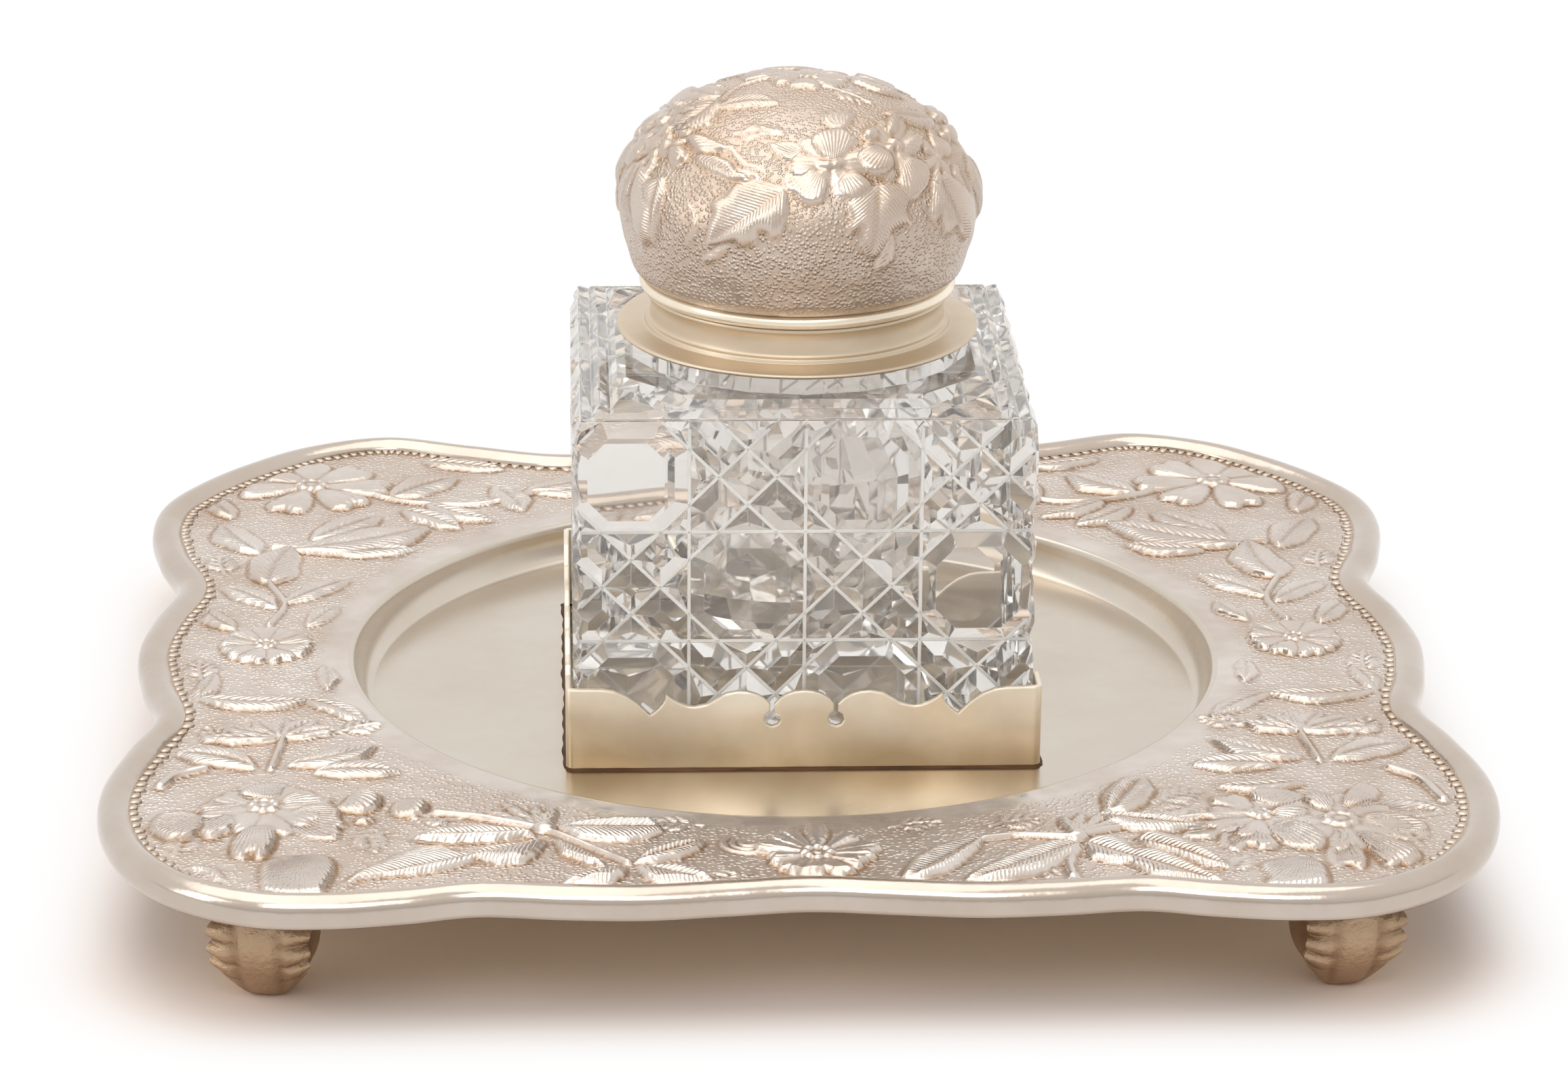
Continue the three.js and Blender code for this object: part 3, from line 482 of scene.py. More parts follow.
def make_piece(name, points, faces, material, body, slot, stands_for=(), smooth=True, **attributes):
    """A mesh from points in millimetres and a list of face arrays, riding on a body."""
    mesh = bpy.data.meshes.new(name)
    points = np.asarray(points, float).reshape(-1, 3)
    sizes = np.concatenate([np.full(len(f), f.shape[1]) for f in faces])
    corners = np.concatenate([f.ravel() for f in faces])
    mesh.vertices.add(len(points))
    mesh.vertices.foreach_set("co", (points * MM).ravel().astype(np.float32))
    mesh.loops.add(len(corners))
    mesh.loops.foreach_set("vertex_index", corners.astype(np.int32))
    mesh.polygons.add(len(sizes))
    mesh.polygons.foreach_set(
        "loop_start", np.concatenate([[0], np.cumsum(sizes)[:-1]]).astype(np.int32)
    )
    mesh.update(calc_edges=True)
    mesh.validate()
    if smooth:
        mesh.shade_smooth()
    for key, values in attributes.items():
        mesh.attributes.new(key, "FLOAT", "POINT").data.foreach_set(
            "value", np.asarray(values, np.float32).ravel()
        )
    mesh.materials.append(material)
    piece = bpy.data.objects.new(name, mesh)
    scene.collection.objects.link(piece)
    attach(piece, body)
    if stands_for:
        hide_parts(*stands_for)
    print(f"{name}: {len(points)} points, {len(sizes)} faces")


def turned(profile, steps, centre_x=0.0):
    """Points of a closed profile of (radius, height) turned about an upright axis."""
    angle = np.linspace(0, 2 * np.pi, steps, endpoint=False)[:, None]
    radius, height = np.asarray(profile, float).T
    return np.stack(
        [centre_x + radius * np.cos(angle), radius * np.sin(angle), height + 0 * angle], axis=2
    )


def swept(line, inwards, section, level):
    """A section of (inwards, up), one for all places or one for each, carried along a line."""
    section = np.asarray(section, float)
    flat = line[:, None] + inwards[:, None] * section[..., :1]
    up = np.broadcast_to(level + section[..., 1:], (*flat.shape[:2], 1))
    return np.concatenate([flat, up], axis=2)


def smooth_line(points, per_span=6):
    """A Catmull-Rom curve through the points: a cubic on each span, with the neighbours' slopes."""
    p = np.asarray(points, float)
    p = np.vstack([2 * p[0] - p[1], p, 2 * p[-1] - p[-2]])
    t = np.linspace(0, 1, per_span, endpoint=False)[:, None, None]
    a, b, c, d = p[:-3], p[1:-2], p[2:-1], p[3:]
    curve = 0.5 * (
        2 * b + (c - a) * t + (2 * a - 5 * b + 4 * c - d) * t**2
        + (3 * b - a - 3 * c + d) * t**3
    )
    return np.vstack([curve.transpose(1, 0, 2).reshape(-1, p.shape[1]), p[-2]])


def offset_line(line, distance):
    """The line moved to its left by a distance, at right angles to its own direction."""
    along = np.gradient(np.asarray(line, float), axis=0)
    along /= np.linalg.norm(along, axis=1, keepdims=True)
    return line + distance * np.stack([-along[:, 1], along[:, 0]], axis=1)


# %% [markdown]
# ## Mitre cuts with painted highlights
#
# The cutting wheel leaves a narrow polished bottom in each mitre groove, which catches the
# light. These bright bands run straight across the whole side of the block, upright, level and
# on both diagonals, and they are what the eye follows first. Each is a thin ribbon laid in the
# bottom of its groove, whose brightness is a painted highlight with a faint glow.

# %% Mitre ribbons
block_half = (glass_high - glass_low)[0] / 2
block_height = 53.2  # the cube without its shoulder and neck
block_foot, block_top = glass_low[2], glass_low[2] + block_height
cell = block_half / 2  # the pitch of the pattern
first_row = block_top - cell / 2
margin = 1.1  # mm that a band stops short of the edges of the block
cut_lines = [((column * cell, first_row), (0, 1)) for column in range(-2, 3)]
cut_lines += [((0, block_top - row * cell), (1, 0)) for row in range(0, 4)]
cut_lines += [
    (((2 * pair - 0.5 + side) * cell, first_row), (1, lean))
    for pair in range(-3, 4) for side in (-0.25, 0.25) for lean in (-1, 1)
]
# Six points round a band: to the side of the bottom of its groove, and in from the block's side.
band_section = [
    (-0.26, 1.04), (-0.14, 1.06), (0.14, 1.06), (0.26, 1.04), (0.12, 1.14), (-0.12, 1.14),
]


def ribbon(point, direction):
    """One band in the bottom of a groove: six points round it, at both of its ends."""
    point, along = np.array(point, float), np.array(direction, float)
    along /= np.hypot(*along)
    across = np.array([-along[1], along[0]])
    low = np.array([-block_half + margin, block_foot + 0.5])
    high = np.array([block_half - margin, block_top - margin])
    with np.errstate(divide="ignore", invalid="ignore"):
        one, two = (low - point) / along, (high - point) / along
    start = np.nanmax(np.where(along == 0, -np.inf, np.minimum(one, two)))
    end = np.nanmin(np.where(along == 0, np.inf, np.maximum(one, two)))
    shortest = 2
    if end - start < shortest or np.any(((point < low) | (point > high)) & (along == 0)):
        return None
    u, z, deep = np.array([
        [*(point + along * t + across * side), deep]
        for t in (start, end) for side, deep in band_section
    ]).T
    return np.stack([u, -block_half + deep, z], axis=1)


ribbons = [band for band in (ribbon(*line) for line in cut_lines) if band is not None]
x, y, z = np.moveaxis(np.stack(ribbons), 2, 0)
all_ribbons = np.concatenate([
    np.stack([axis_x + x * c - y * s, x * s + y * c, z], axis=2)
    for c, s in ((1, 0), (0, 1), (-1, 0), (0, -1))
])
corners = len(band_section)
first_point = 2 * corners * np.arange(len(all_ribbons))[:, None, None]
ribbon_sides = (first_point + grid_faces(2, corners, False, True)[:, ::-1]).reshape(-1, 4)
caps = np.stack([np.arange(corners), corners + np.arange(corners)[::-1]])
ribbon_caps = (first_point + caps).reshape(-1, corners)
# 1 at the borders and the back of a band, 0 at the two points in the middle of its front
rim_of_band = np.tile([1, 0, 0, 1, 1, 1] * 2, len(all_ribbons))
# A polished cut, painted: pale grey glass, painted lighter along its two borders and given a
# faint glow, so the eye sees a double bright line with a soft streaked band between. These are
# painted highlights.
mitre, tree, surface, where = new_material("mitre cut with painted highlight")
painted_border_highlight = maths(
    tree, "MULTIPLY_ADD", stored(tree, "border"), 0.8, noise(tree, where, 3, 2.0), clamp=True
)
cut_glass = add(
    tree, "ShaderNodeBsdfPrincipled", Roughness=0.3, Transmission_Weight=0.5, IOR=1.3,
    Base_Color=blend(tree, painted_border_highlight, linear("#DAD6D0"), linear("#FBFAF8")),
    # a faint glow, which is painted light
    Emission_Color=linear("#F4F1EC"), Emission_Strength=0.1,
)
tree.links.new(cut_glass.outputs[0], surface)
make_piece(
    "mitre_lines", all_ribbons, [ribbon_sides, ribbon_caps], mitre, "inkwell", "cut_glass",
    smooth=False, border=rim_of_band,
)

# %% [markdown]
# ## The outline of the tray
#
# The lobed outline is drawn once, as half of a closed curve that the other half mirrors. The
# border wire, its teeth and the chased sheet all follow it at their own distances inwards.

# %% Outline
# From the middle of the back round the right to the middle of the front: shares of half the size.
half_outline = np.array([
    [0, 0.955], [0.17, 0.945], [0.33, 0.905], [0.48, 0.95], [0.63, 1], [0.77, 0.95],
    [0.87, 0.858], [0.945, 0.756], [0.99, 0.658], [1, 0.55], [0.98, 0.42], [0.943, 0.275],
    [0.97, 0.135], [0.985, 0], [0.97, -0.14], [0.943, -0.285], [0.975, -0.42], [1, -0.56],
    [0.995, -0.684], [0.955, -0.816], [0.88, -0.923], [0.77, -0.99], [0.66, -1],
    [0.55, -0.985], [0.46, -0.965], [0.34, -0.977], [0.23, -0.982], [0.11, -0.969], [0, -0.957],
])
half_size = (rim_high - rim_low)[:2] / 2


def closed_spline(points, count):
    """A closed centripetal spline through the points, at count even steps of length."""
    p = np.vstack([points[-1], points, points[:2]])
    knot = np.sqrt(np.linalg.norm(np.diff(p, axis=0), axis=1))[:, None]
    a, b, c, d = p[:-3], p[1:-2], p[2:-1], p[3:]
    ka, kb, kc = knot[:-2], knot[1:-1], knot[2:]
    slope_b = ((b - a) / ka - (c - a) / (ka + kb) + (c - b) / kb) * kb
    slope_c = ((c - b) / kb - (d - b) / (kb + kc) + (d - c) / kc) * kb
    t = np.linspace(0, 1, 200, endpoint=False)[:, None, None]
    curve = (
        b + slope_b * t + (-3 * b + 3 * c - 2 * slope_b - slope_c) * t**2
        + (2 * b - 2 * c + slope_b + slope_c) * t**3
    ).transpose(1, 0, 2).reshape(-1, 2)
    closed = np.vstack([curve, curve[0]])
    run = np.concatenate([[0], np.cumsum(np.linalg.norm(np.diff(closed, axis=0), axis=1))])
    wanted = np.linspace(0, run[-1], count, endpoint=False)
    return np.stack([np.interp(wanted, run, closed[:, k]) for k in (0, 1)], axis=1), run[-1]


def tray_outline(count):
    """Points of the outline, the unit vectors that point inwards, and its length."""
    left = half_outline[1:-1][::-1] * [-1, 1]
    loop, length = closed_spline(np.vstack([half_outline, left]) * half_size, count)
    loop -= (loop.max(0) + loop.min(0)) / 2
    loop *= half_size / loop.max(0)
    along = np.roll(loop, -1, axis=0) - np.roll(loop, 1, axis=0)
    along /= np.linalg.norm(along, axis=1, keepdims=True)
    return loop, np.stack([along[:, 1], -along[:, 0]], axis=1), length


edge, edge_in, edge_length = tray_outline(720)
print("the tray's edge is", round(edge_length), "mm long")

# %% [markdown]
# ## The border wire and its teeth
#
# The wire is hollow and half round, rolled over the edge of the sheet. Its inner foot was cut
# into small teeth before it was soldered down, and tarnish has filled the gaps between them.

# %% Border wire
# From its inner foot over the crest to its lower edge: mm in from the outline, mm above the sheet.
wire_top = [
    [4.8, 0.2], [4.62, 0.62], [4.1, 1.1], [3.4, 1.5], [2.6, 1.7], [1.7, 1.55], [0.9, 1.1],
    [0.3, 0.4], [0.06, -0.5], [0.02, -1.3], [0.16, -2.1], [0.55, -2.8],
]
wire_thick = 0.5
wire_outer = smooth_line(wire_top, 4)
wire = np.vstack([wire_outer, offset_line(wire_outer, wire_thick)[::-1]])
make_piece(
    "border_wire", swept(edge, edge_in, wire, ground_top),
    [grid_faces(len(edge), len(wire), True, True)], wire_silver,
    "tray", "polished_silver", ["tray_rim"],
)

# %% Teeth
# The teeth are finest at the back. Each is placed by counting the pitch along a fine outline.
foot_in, tip_in = 4.45, 6.1  # mm from the outline to the foot and the tip of a tooth
fine_count = 6000
fine_at, fine_in, _ = tray_outline(fine_count)
pitch = np.interp(fine_at[:, 1], [-90, -20, 60], [2.5, 2.2, 1.8])
turns = np.concatenate([[0], np.cumsum(edge_length / fine_count / pitch)])
tooth_count = round(turns[-1])
marks_at = np.linspace(0, turns[-1], 2 * tooth_count, endpoint=False)
pick = np.searchsorted(turns, marks_at).clip(0, fine_count - 1)
base, base_in = fine_at[pick[0::2]], fine_in[pick[0::2]]
tip_dir = fine_in[pick[1::2]]
uneven_cut = 0.25 * np.sin(np.arange(tooth_count) * 2.4) + 0.12 * np.sin(np.arange(tooth_count))


def above_ground(places, up):
    """Places of the plan, raised to a height above the chased ground."""
    return np.column_stack([places, np.full(len(places), ground_top + up)])


def tooth_row():
    """Flat slanting teeth: a base on the wire, two shoulders and a blunt point, round a crest."""
    after, after_in = np.roll(base, -1, axis=0), np.roll(base_in, -1, axis=0)
    left, right = base + base_in * foot_in, after + after_in * foot_in
    width = right - left
    deep = (tip_in - foot_in + uneven_cut)[:, None] * tip_dir
    outline = [
        (left + 0.02 * width, 0.3), (left + 0.2 * width + 0.7 * deep, 0.29),
        (left + 0.5 * width + deep, 0.27), (left + 0.8 * width + 0.7 * deep, 0.29),
        (left + 0.78 * width, 0.3),
    ]
    crest = (left + 0.44 * width + 0.4 * deep, 0.31)
    tops = [above_ground(*point) for point in [*outline, crest]]
    feet = [above_ground(place, -0.1) for place, _ in outline]
    return np.stack(tops + feet, axis=1)


teeth = tooth_row()
start = teeth.shape[1] * np.arange(tooth_count)[:, None]
corner = np.arange(5)
following = (corner + 1) % 5
tooth_tops = np.concatenate([start + [[i, j, 5]] for i, j in zip(corner, following)])
tooth_sides = np.concatenate([start + [[j, i, 6 + i, 6 + j]] for i, j in zip(corner, following)])
tooth_feet = start + [[10, 9, 8, 7, 6]]
make_piece(
    "wire_teeth", teeth, [tooth_tops, tooth_sides, tooth_feet], tooth_silver, "tray",
    "polished_silver", smooth=False,
)
# A thin toned strip under them shows in the gaps.
tarnish = [[4.0, 0.05], [4.3, 0.14], [5.5, 0.12], [5.75, 0.02], [5.7, -0.1], [4.0, -0.1]]
make_piece(
    "tooth_gaps", swept(edge, edge_in, tarnish, ground_top),
    [grid_faces(len(edge), len(tarnish), True, True)[:, ::-1]],
    gap_silver, "tray", "polished_silver",
)

# %% [markdown]
# ## Flowers and leaves hammered from behind
#
# Repoussé is drawn here as a height over each point of the ground. A petal or a leaf is a
# small dome with its own outline; where two meet, the higher one wins, which leaves the crisp
# crease that a chasing tool gives. Ribs and veins are waves across the dome. The same
# functions serve the flat tray and the round lid, because both are measured in millimetres.

# %% Relief tools


class Relief:
    """Heights over points x, y of a sheet, in millimetres, built up shape by shape.

    edge is the width of the rounded edge of a shape, and torn is how far its outline wanders,
    as two sines of the place, because a hand holds the chisel.
    """

    edge = 0.6
    torn = 0.05

    def __init__(self, x, y):
        self.x, self.y = np.ravel(x), np.ravel(y)
        self.h, self.phase, self.comb = np.zeros((3, self.x.size))

    def near(self, centre, turn, reach):
        """Points within reach of a centre, and their coordinates along and across a direction."""
        dx, dy = self.x - centre[0], self.y - centre[1]
        index = np.flatnonzero((np.abs(dx) < reach) & (np.abs(dy) < reach))
        x, y = self.x[index], self.y[index]
        dx = dx[index] + self.torn * (np.sin(2.9 * y + 1.7 * x) + 0.6 * np.sin(6.1 * y - 2.3 * x))
        dy = dy[index] + self.torn * (np.sin(2.6 * x - 1.9 * y) + 0.6 * np.sin(5.7 * x + 2.9 * y))
        c, s = math.cos(turn), math.sin(turn)
        return index, dx * c + dy * s, dy * c - dx * s

    def raise_to(self, index, height, phase=0.0, comb=0.0):
        """Keeps the higher of the old and the new height, with the ribs that belong to it."""
        higher = height > self.h[index]
        at = index[higher]
        self.h[at] = height[higher]
        self.phase[at] = np.broadcast_to(phase, height.shape)[higher]
        self.comb[at] = np.broadcast_to(comb, height.shape)[higher]

    def climb(self, away):
        """From 0 at an outline to 1 over the width of the rounded edge: a quarter of a sine."""
        return np.sin(np.pi / 2 * np.clip(away / self.edge, 0, 1))

    def cut(self, outline, rise, root, spacing=0.9, comb=0.6, midrib=None, round_off=False):
        """A torn leaf or a cupped petal with any outline, a list of corners.

        The height climbs from the outline over a narrow edge and goes on domed or dished, by a
        sine of the distance to the outline, and leans to one side: each was struck by hand, so
        no two are alike. Ribs spread from the root like the sticks of a fan, or, where the shape
        has a midrib, they slant away from it and each half is a pillow of its own.
        """
        outline = np.asarray(outline, float)
        if round_off:
            outline = closed_spline(outline, 6 * len(outline))[0]
        low, high = outline.min(0), outline.max(0)
        middle = (low + high) / 2
        index, x, y = self.near(middle, 0, (high - low).max() / 2)
        x, y = x + middle[0], y + middle[1]
        inside = np.zeros(len(x), bool)
        away = np.full(len(x), np.inf)
        for (ax, ay), (bx, by) in zip(outline, np.roll(outline, -1, axis=0)):
            dx, dy = bx - ax, by - ay
            crossing = ax + dx * (y - ay) / (dy or 1e-9)
            inside ^= ((ay > y) != (by > y)) & (x < crossing)
            t = np.clip(((x - ax) * dx + (y - ay) * dy) / (dx * dx + dy * dy), 0, 1)
            away = np.minimum(away, np.hypot(x - ax - t * dx, y - ay - t * dy))
        rx, ry = x - root[0], y - root[1]
        size = np.hypot(*(middle - root))
        c, s = (middle - root) / size
        along, across = rx * c + ry * s, ry * c - rx * s
        far = np.hypot(rx, ry) / (2 * size)
        girth = max(away[inside].max(), 0.1) if inside.any() else 1.0
        pillow = np.sin(np.pi / 2 * np.clip(away / girth, 0, 1))
        cup = 0.48 * math.sin(5.3 * middle[0] + 3.1 * middle[1])
        tilt = 0.4 * np.clip(across / girth, -1, 1)
        flat = 0.6 + 0.25 * np.clip(far, 0, 1)
        height = rise * (flat + cup * pillow + tilt * (0.4 + 0.6 * pillow) - 0.12)
        phase = np.arctan2(across, along) * size / spacing
        if midrib is not None:
            tip = np.asarray(midrib, float) - root
            reach = np.hypot(*tip)
            c, s = tip / reach
            along, across = rx * c + ry * s, ry * c - rx * s
            half = np.clip(np.minimum(away, np.abs(across) + 0.15) / (0.55 * girth), 0, 1)
            fold = np.sin(np.pi / 2 * half)
            height = rise * (0.4 + 0.6 * fold + 0.12 * np.sign(across) * fold)
            phase = (along - 0.9 * np.abs(across)) / spacing
        comb = comb * np.clip(away / 1.0, 0, 1)
        self.raise_to(index, np.where(inside, height * self.climb(away), 0), phase, comb)

    def petal(self, centre, degrees, inner, length, width, rise, ribs, notch=0.12):
        """A petal that fans out from a flower's centre: narrow at its root, round at its tip.

        Its half width grows as the root of the distance and closes over the last part. It is
        domed, with the middle higher than the rim, its tip is notched, and fine ribs run out
        from the root.
        """
        index, along, across = self.near(centre, math.radians(degrees), inner + length + 2)
        t = (along - inner) / length
        t = t + notch * np.exp(-((across / (0.13 * width)) ** 2)) * np.clip(t, 0, 1) ** 4
        inside = (t > 0) & (t < 1)
        t = np.clip(t, 0.001, 0.999)
        half = width / 2 * t**0.6 * (1 - t**7) ** 0.5
        side = np.abs(across) / half
        inside &= side < 1
        away = np.minimum((1 - side) * half, (1 - t) * length * 1.3)
        pillow = np.sin(np.pi / 2 * np.clip(away / (0.4 * width), 0, 1))
        lean = 0.5 * across / width * t
        height = rise * ((0.35 + 0.25 * t) + 0.4 * pillow + lean * pillow) * self.climb(away)
        phase = ribs * across / (half + 0.2 * width)
        self.raise_to(index, np.where(inside, height, 0), phase, 0.7 * t * np.clip(away, 0, 1))

    def leaf(self, root, tip, width, rise, bend=0.0, veins=0, full=1.0):
        """A leaf from root to tip, whose midline bows sideways by bend.

        The half width is a sine of the distance, so that both ends are pointed. The leaf is
        folded along its midrib: one half lies steeper than the other. Veins slant away from
        the midrib.
        """
        root, tip = np.asarray(root, float), np.asarray(tip, float)
        axis = tip - root
        length = np.hypot(*axis)
        turn = math.atan2(axis[1], axis[0])
        index, along, across = self.near(
            (root + tip) / 2, turn, length / 2 + abs(bend) + width / 2
        )
        t = along / length + 0.5
        inside = (t > 0) & (t < 1)
        t = np.clip(t, 0.002, 0.998)
        offset = across - bend * 4 * t * (1 - t)
        half = width / 2 * np.sin(np.pi * t**full) ** 0.8
        half = half * (1 + 0.1 * np.sin(11 * t + np.sign(offset)))
        part = offset / np.maximum(half, 0.02)
        side = np.abs(part)
        inside &= side < 1
        away = (1 - side) * half
        ridge = np.clip(np.minimum(away, np.abs(offset) + 0.15) / (0.22 * width), 0, 1)
        fold = 0.45 + 0.5 * np.sin(np.pi / 2 * ridge) + 0.14 * np.sign(bend + 0.01) * part
        phase = 1.6 * veins * t - 1.1 * np.abs(offset) / max(width, 1) * veins
        comb = 0.7 * np.clip(away, 0, 1) * (veins > 0)
        self.raise_to(index, np.where(inside, rise * fold * self.climb(away), 0), phase, comb)

    def fan(self, centre, rays, width, rise, bend=0.0, veins=3):
        """Narrow leaves from one place, each given as (degrees, length)."""
        for degrees, reach in rays:
            turn = math.radians(degrees)
            tip = np.add(centre, [reach * math.cos(turn), reach * math.sin(turn)])
            self.leaf(centre, tip, width, rise, bend, veins)

    def sprig(self, root, degrees, size, rise, pairs):
        """A twig with pairs of small pointed leaves that get smaller towards its tip."""
        turn = math.radians(degrees)
        along = np.array([math.cos(turn), math.sin(turn)])
        across = np.array([-along[1], along[0]])
        root = np.asarray(root, float)
        bow = root + along * size * 0.5 + across * 0.4
        self.stem([root, bow, root + along * size * 0.9], 0.7, rise * 0.7)
        for k in range(pairs):
            place = root + along * size * (0.2 + 0.6 * k / pairs)
            reach = size * (0.5 - 0.25 * k / pairs)
            for hand in (-1, 1):
                point = place + (0.75 * along + 0.65 * hand * across) * reach
                self.leaf(place, point, reach * 0.42, rise, 0.15 * hand, veins=4)
        self.leaf(root + along * size * 0.75, root + along * size, size * 0.16, rise)

    def bead(self, centre, radius, rise):
        """A small round boss: the upper part of a ball."""
        index, along, across = self.near(centre, 0, radius)
        away = (along**2 + across**2) / radius**2
        self.raise_to(index, rise * np.sqrt(np.clip(1 - away, 0, 1)))

    def stem(self, points, width, rise):
        """A round rib along a line of points: the distance to each span gives its height."""
        points = smooth_line(points, 5)
        for a, b in zip(points[:-1], points[1:]):
            span = b - a
            index, _, _ = self.near((a + b) / 2, 0, np.hypot(*span) / 2 + width)
            dx, dy = self.x[index] - a[0], self.y[index] - a[1]
            t = np.clip((dx * span[0] + dy * span[1]) / (span @ span), 0, 1)
            away = np.hypot(dx - t * span[0], dy - t * span[1]) / (width / 2)
            self.raise_to(index, rise * np.sqrt(np.clip(1 - away**2, 0, 1)))

    def ring(self, centre, count, radius, size, rise):
        """Small beads round a centre."""
        for turn in np.linspace(0, 2 * np.pi, count, endpoint=False):
            place = np.add(centre, [radius * math.cos(turn), radius * math.sin(turn)])
            self.bead(place, size, rise)

    def flower(self, centre, petals, rise, eye, beads, ribs):
        """Petals given as (degrees, length, width), round an eye of small beads."""
        for degrees, length, width in petals:
            self.petal(centre, degrees, 0.5 * eye, length - 0.5 * eye, width, rise, ribs)
        self.bead(centre, 0.62 * eye, rise * 0.8)
        self.ring(centre, beads, 0.8 * eye, 0.42 * eye, rise)


def soften(height):
    """Each height averaged a little with its neighbours, as annealed silver rounds off."""
    for axis in (0, 1):
        height = (np.roll(height, 1, axis) + 2 * height + np.roll(height, -1, axis)) / 4
    return height


def grid_hollow(height, reach):
    """How deep each point of a grid lies below the points reach steps away, as 0 to 1."""
    near = sum(
        np.roll(height, (a, b), axis=(0, 1))
        for a, b in ((reach, 0), (-reach, 0), (0, reach), (0, -reach))
    ) / 4
    return np.clip((near - height) / 0.35, 0, 0.62)


# %% [markdown]
# ## The chased ground of the tray
#
# The sheet runs from the lip of the well to the wire. Its grid follows both: each ray starts
# on the well's circle and ends on the outline. The flowers sit in the corners and in the
# middle of each side, tied together by long leaves, and the ground between them is matted
# with a punch.

# %% Petals and leaves at the front
# Corners of the shapes at the front, in millimetres, each followed by the place that its ribs
# spread from. The first list lies to the left, the second to the right.
left_petals = [
    ([(-92, -67), (-91, -63.8), (-88.4, -62.4), (-86, -63.4), (-84.6, -66), (-84.8, -70),
      (-86, -72.6), (-88.8, -73.4), (-90.4, -71.8), (-91.6, -70)], (-79, -61)),
    ([(-85.6, -66.5), (-84, -64.6), (-81.6, -64.2), (-80.2, -66), (-80.2, -69.5), (-81.6, -71),
      (-83.4, -72.4), (-85, -70.6), (-84.6, -68.4)], (-77, -61.5)),
    ([(-80.3, -75.5), (-79.6, -71), (-78, -69), (-76, -68.6), (-74.4, -70), (-74, -74),
      (-74.8, -78), (-76.2, -79.8), (-77.4, -78.4), (-78.4, -80), (-79.8, -79)], (-76.5, -63)),
    ([(-73.2, -66.5), (-72.6, -63.8), (-70.5, -61.6), (-67.5, -61.4), (-65.6, -63),
      (-65.3, -66.4), (-64.4, -68.4), (-65.4, -69.6), (-65, -71.6), (-66.2, -73.2),
      (-69.3, -72.6), (-71.6, -70.6), (-73, -68.6)], (-76, -60.5)),
    ([(-85.5, -62.5), (-84.2, -59.4), (-81.8, -58.2), (-79.4, -59.8), (-79.2, -61.6),
      (-82, -63.2)], (-76, -61)),
    ([(-80, -58), (-79, -54.8), (-76.5, -53.4), (-73.5, -53.2), (-72.4, -55.6), (-73.6, -58.6),
      (-76.5, -59)], (-76.3, -61.5)),
    ([(-74, -59.4), (-72.2, -57.4), (-70, -57.6), (-67.6, -58.6), (-68, -60.4), (-71, -61.2),
      (-73.4, -61)], (-76, -61)),
    ([(-65.4, -60.2), (-64.2, -57.2), (-62.2, -56.2), (-60.4, -57.4), (-59.6, -60),
      (-60.4, -62.6), (-62.4, -64), (-64.6, -63.4), (-66.4, -62.4)], (-66, -57)),
    ([(-58.4, -62.6), (-57.6, -60), (-55.4, -59), (-53.4, -60.2), (-53, -62.6), (-54.4, -65),
      (-56.4, -65.2), (-58, -64.4)], (-57.5, -58)),
    ([(-75.4, -81), (-74, -79.4), (-71.5, -79), (-69, -78.6), (-66.8, -79.4), (-65.6, -82),
      (-65.7, -86), (-66.6, -90), (-66.8, -92.6), (-65, -94.4), (-69.5, -94.6), (-72.5, -94),
      (-73.6, -91.6), (-75, -90.4), (-75.6, -86)], (-70.5, -76)),
    ([(-88, -84), (-85.5, -82), (-82, -83), (-80.8, -87), (-81.4, -92), (-83.4, -91),
      (-86, -88.4)], (-82, -94)),
]
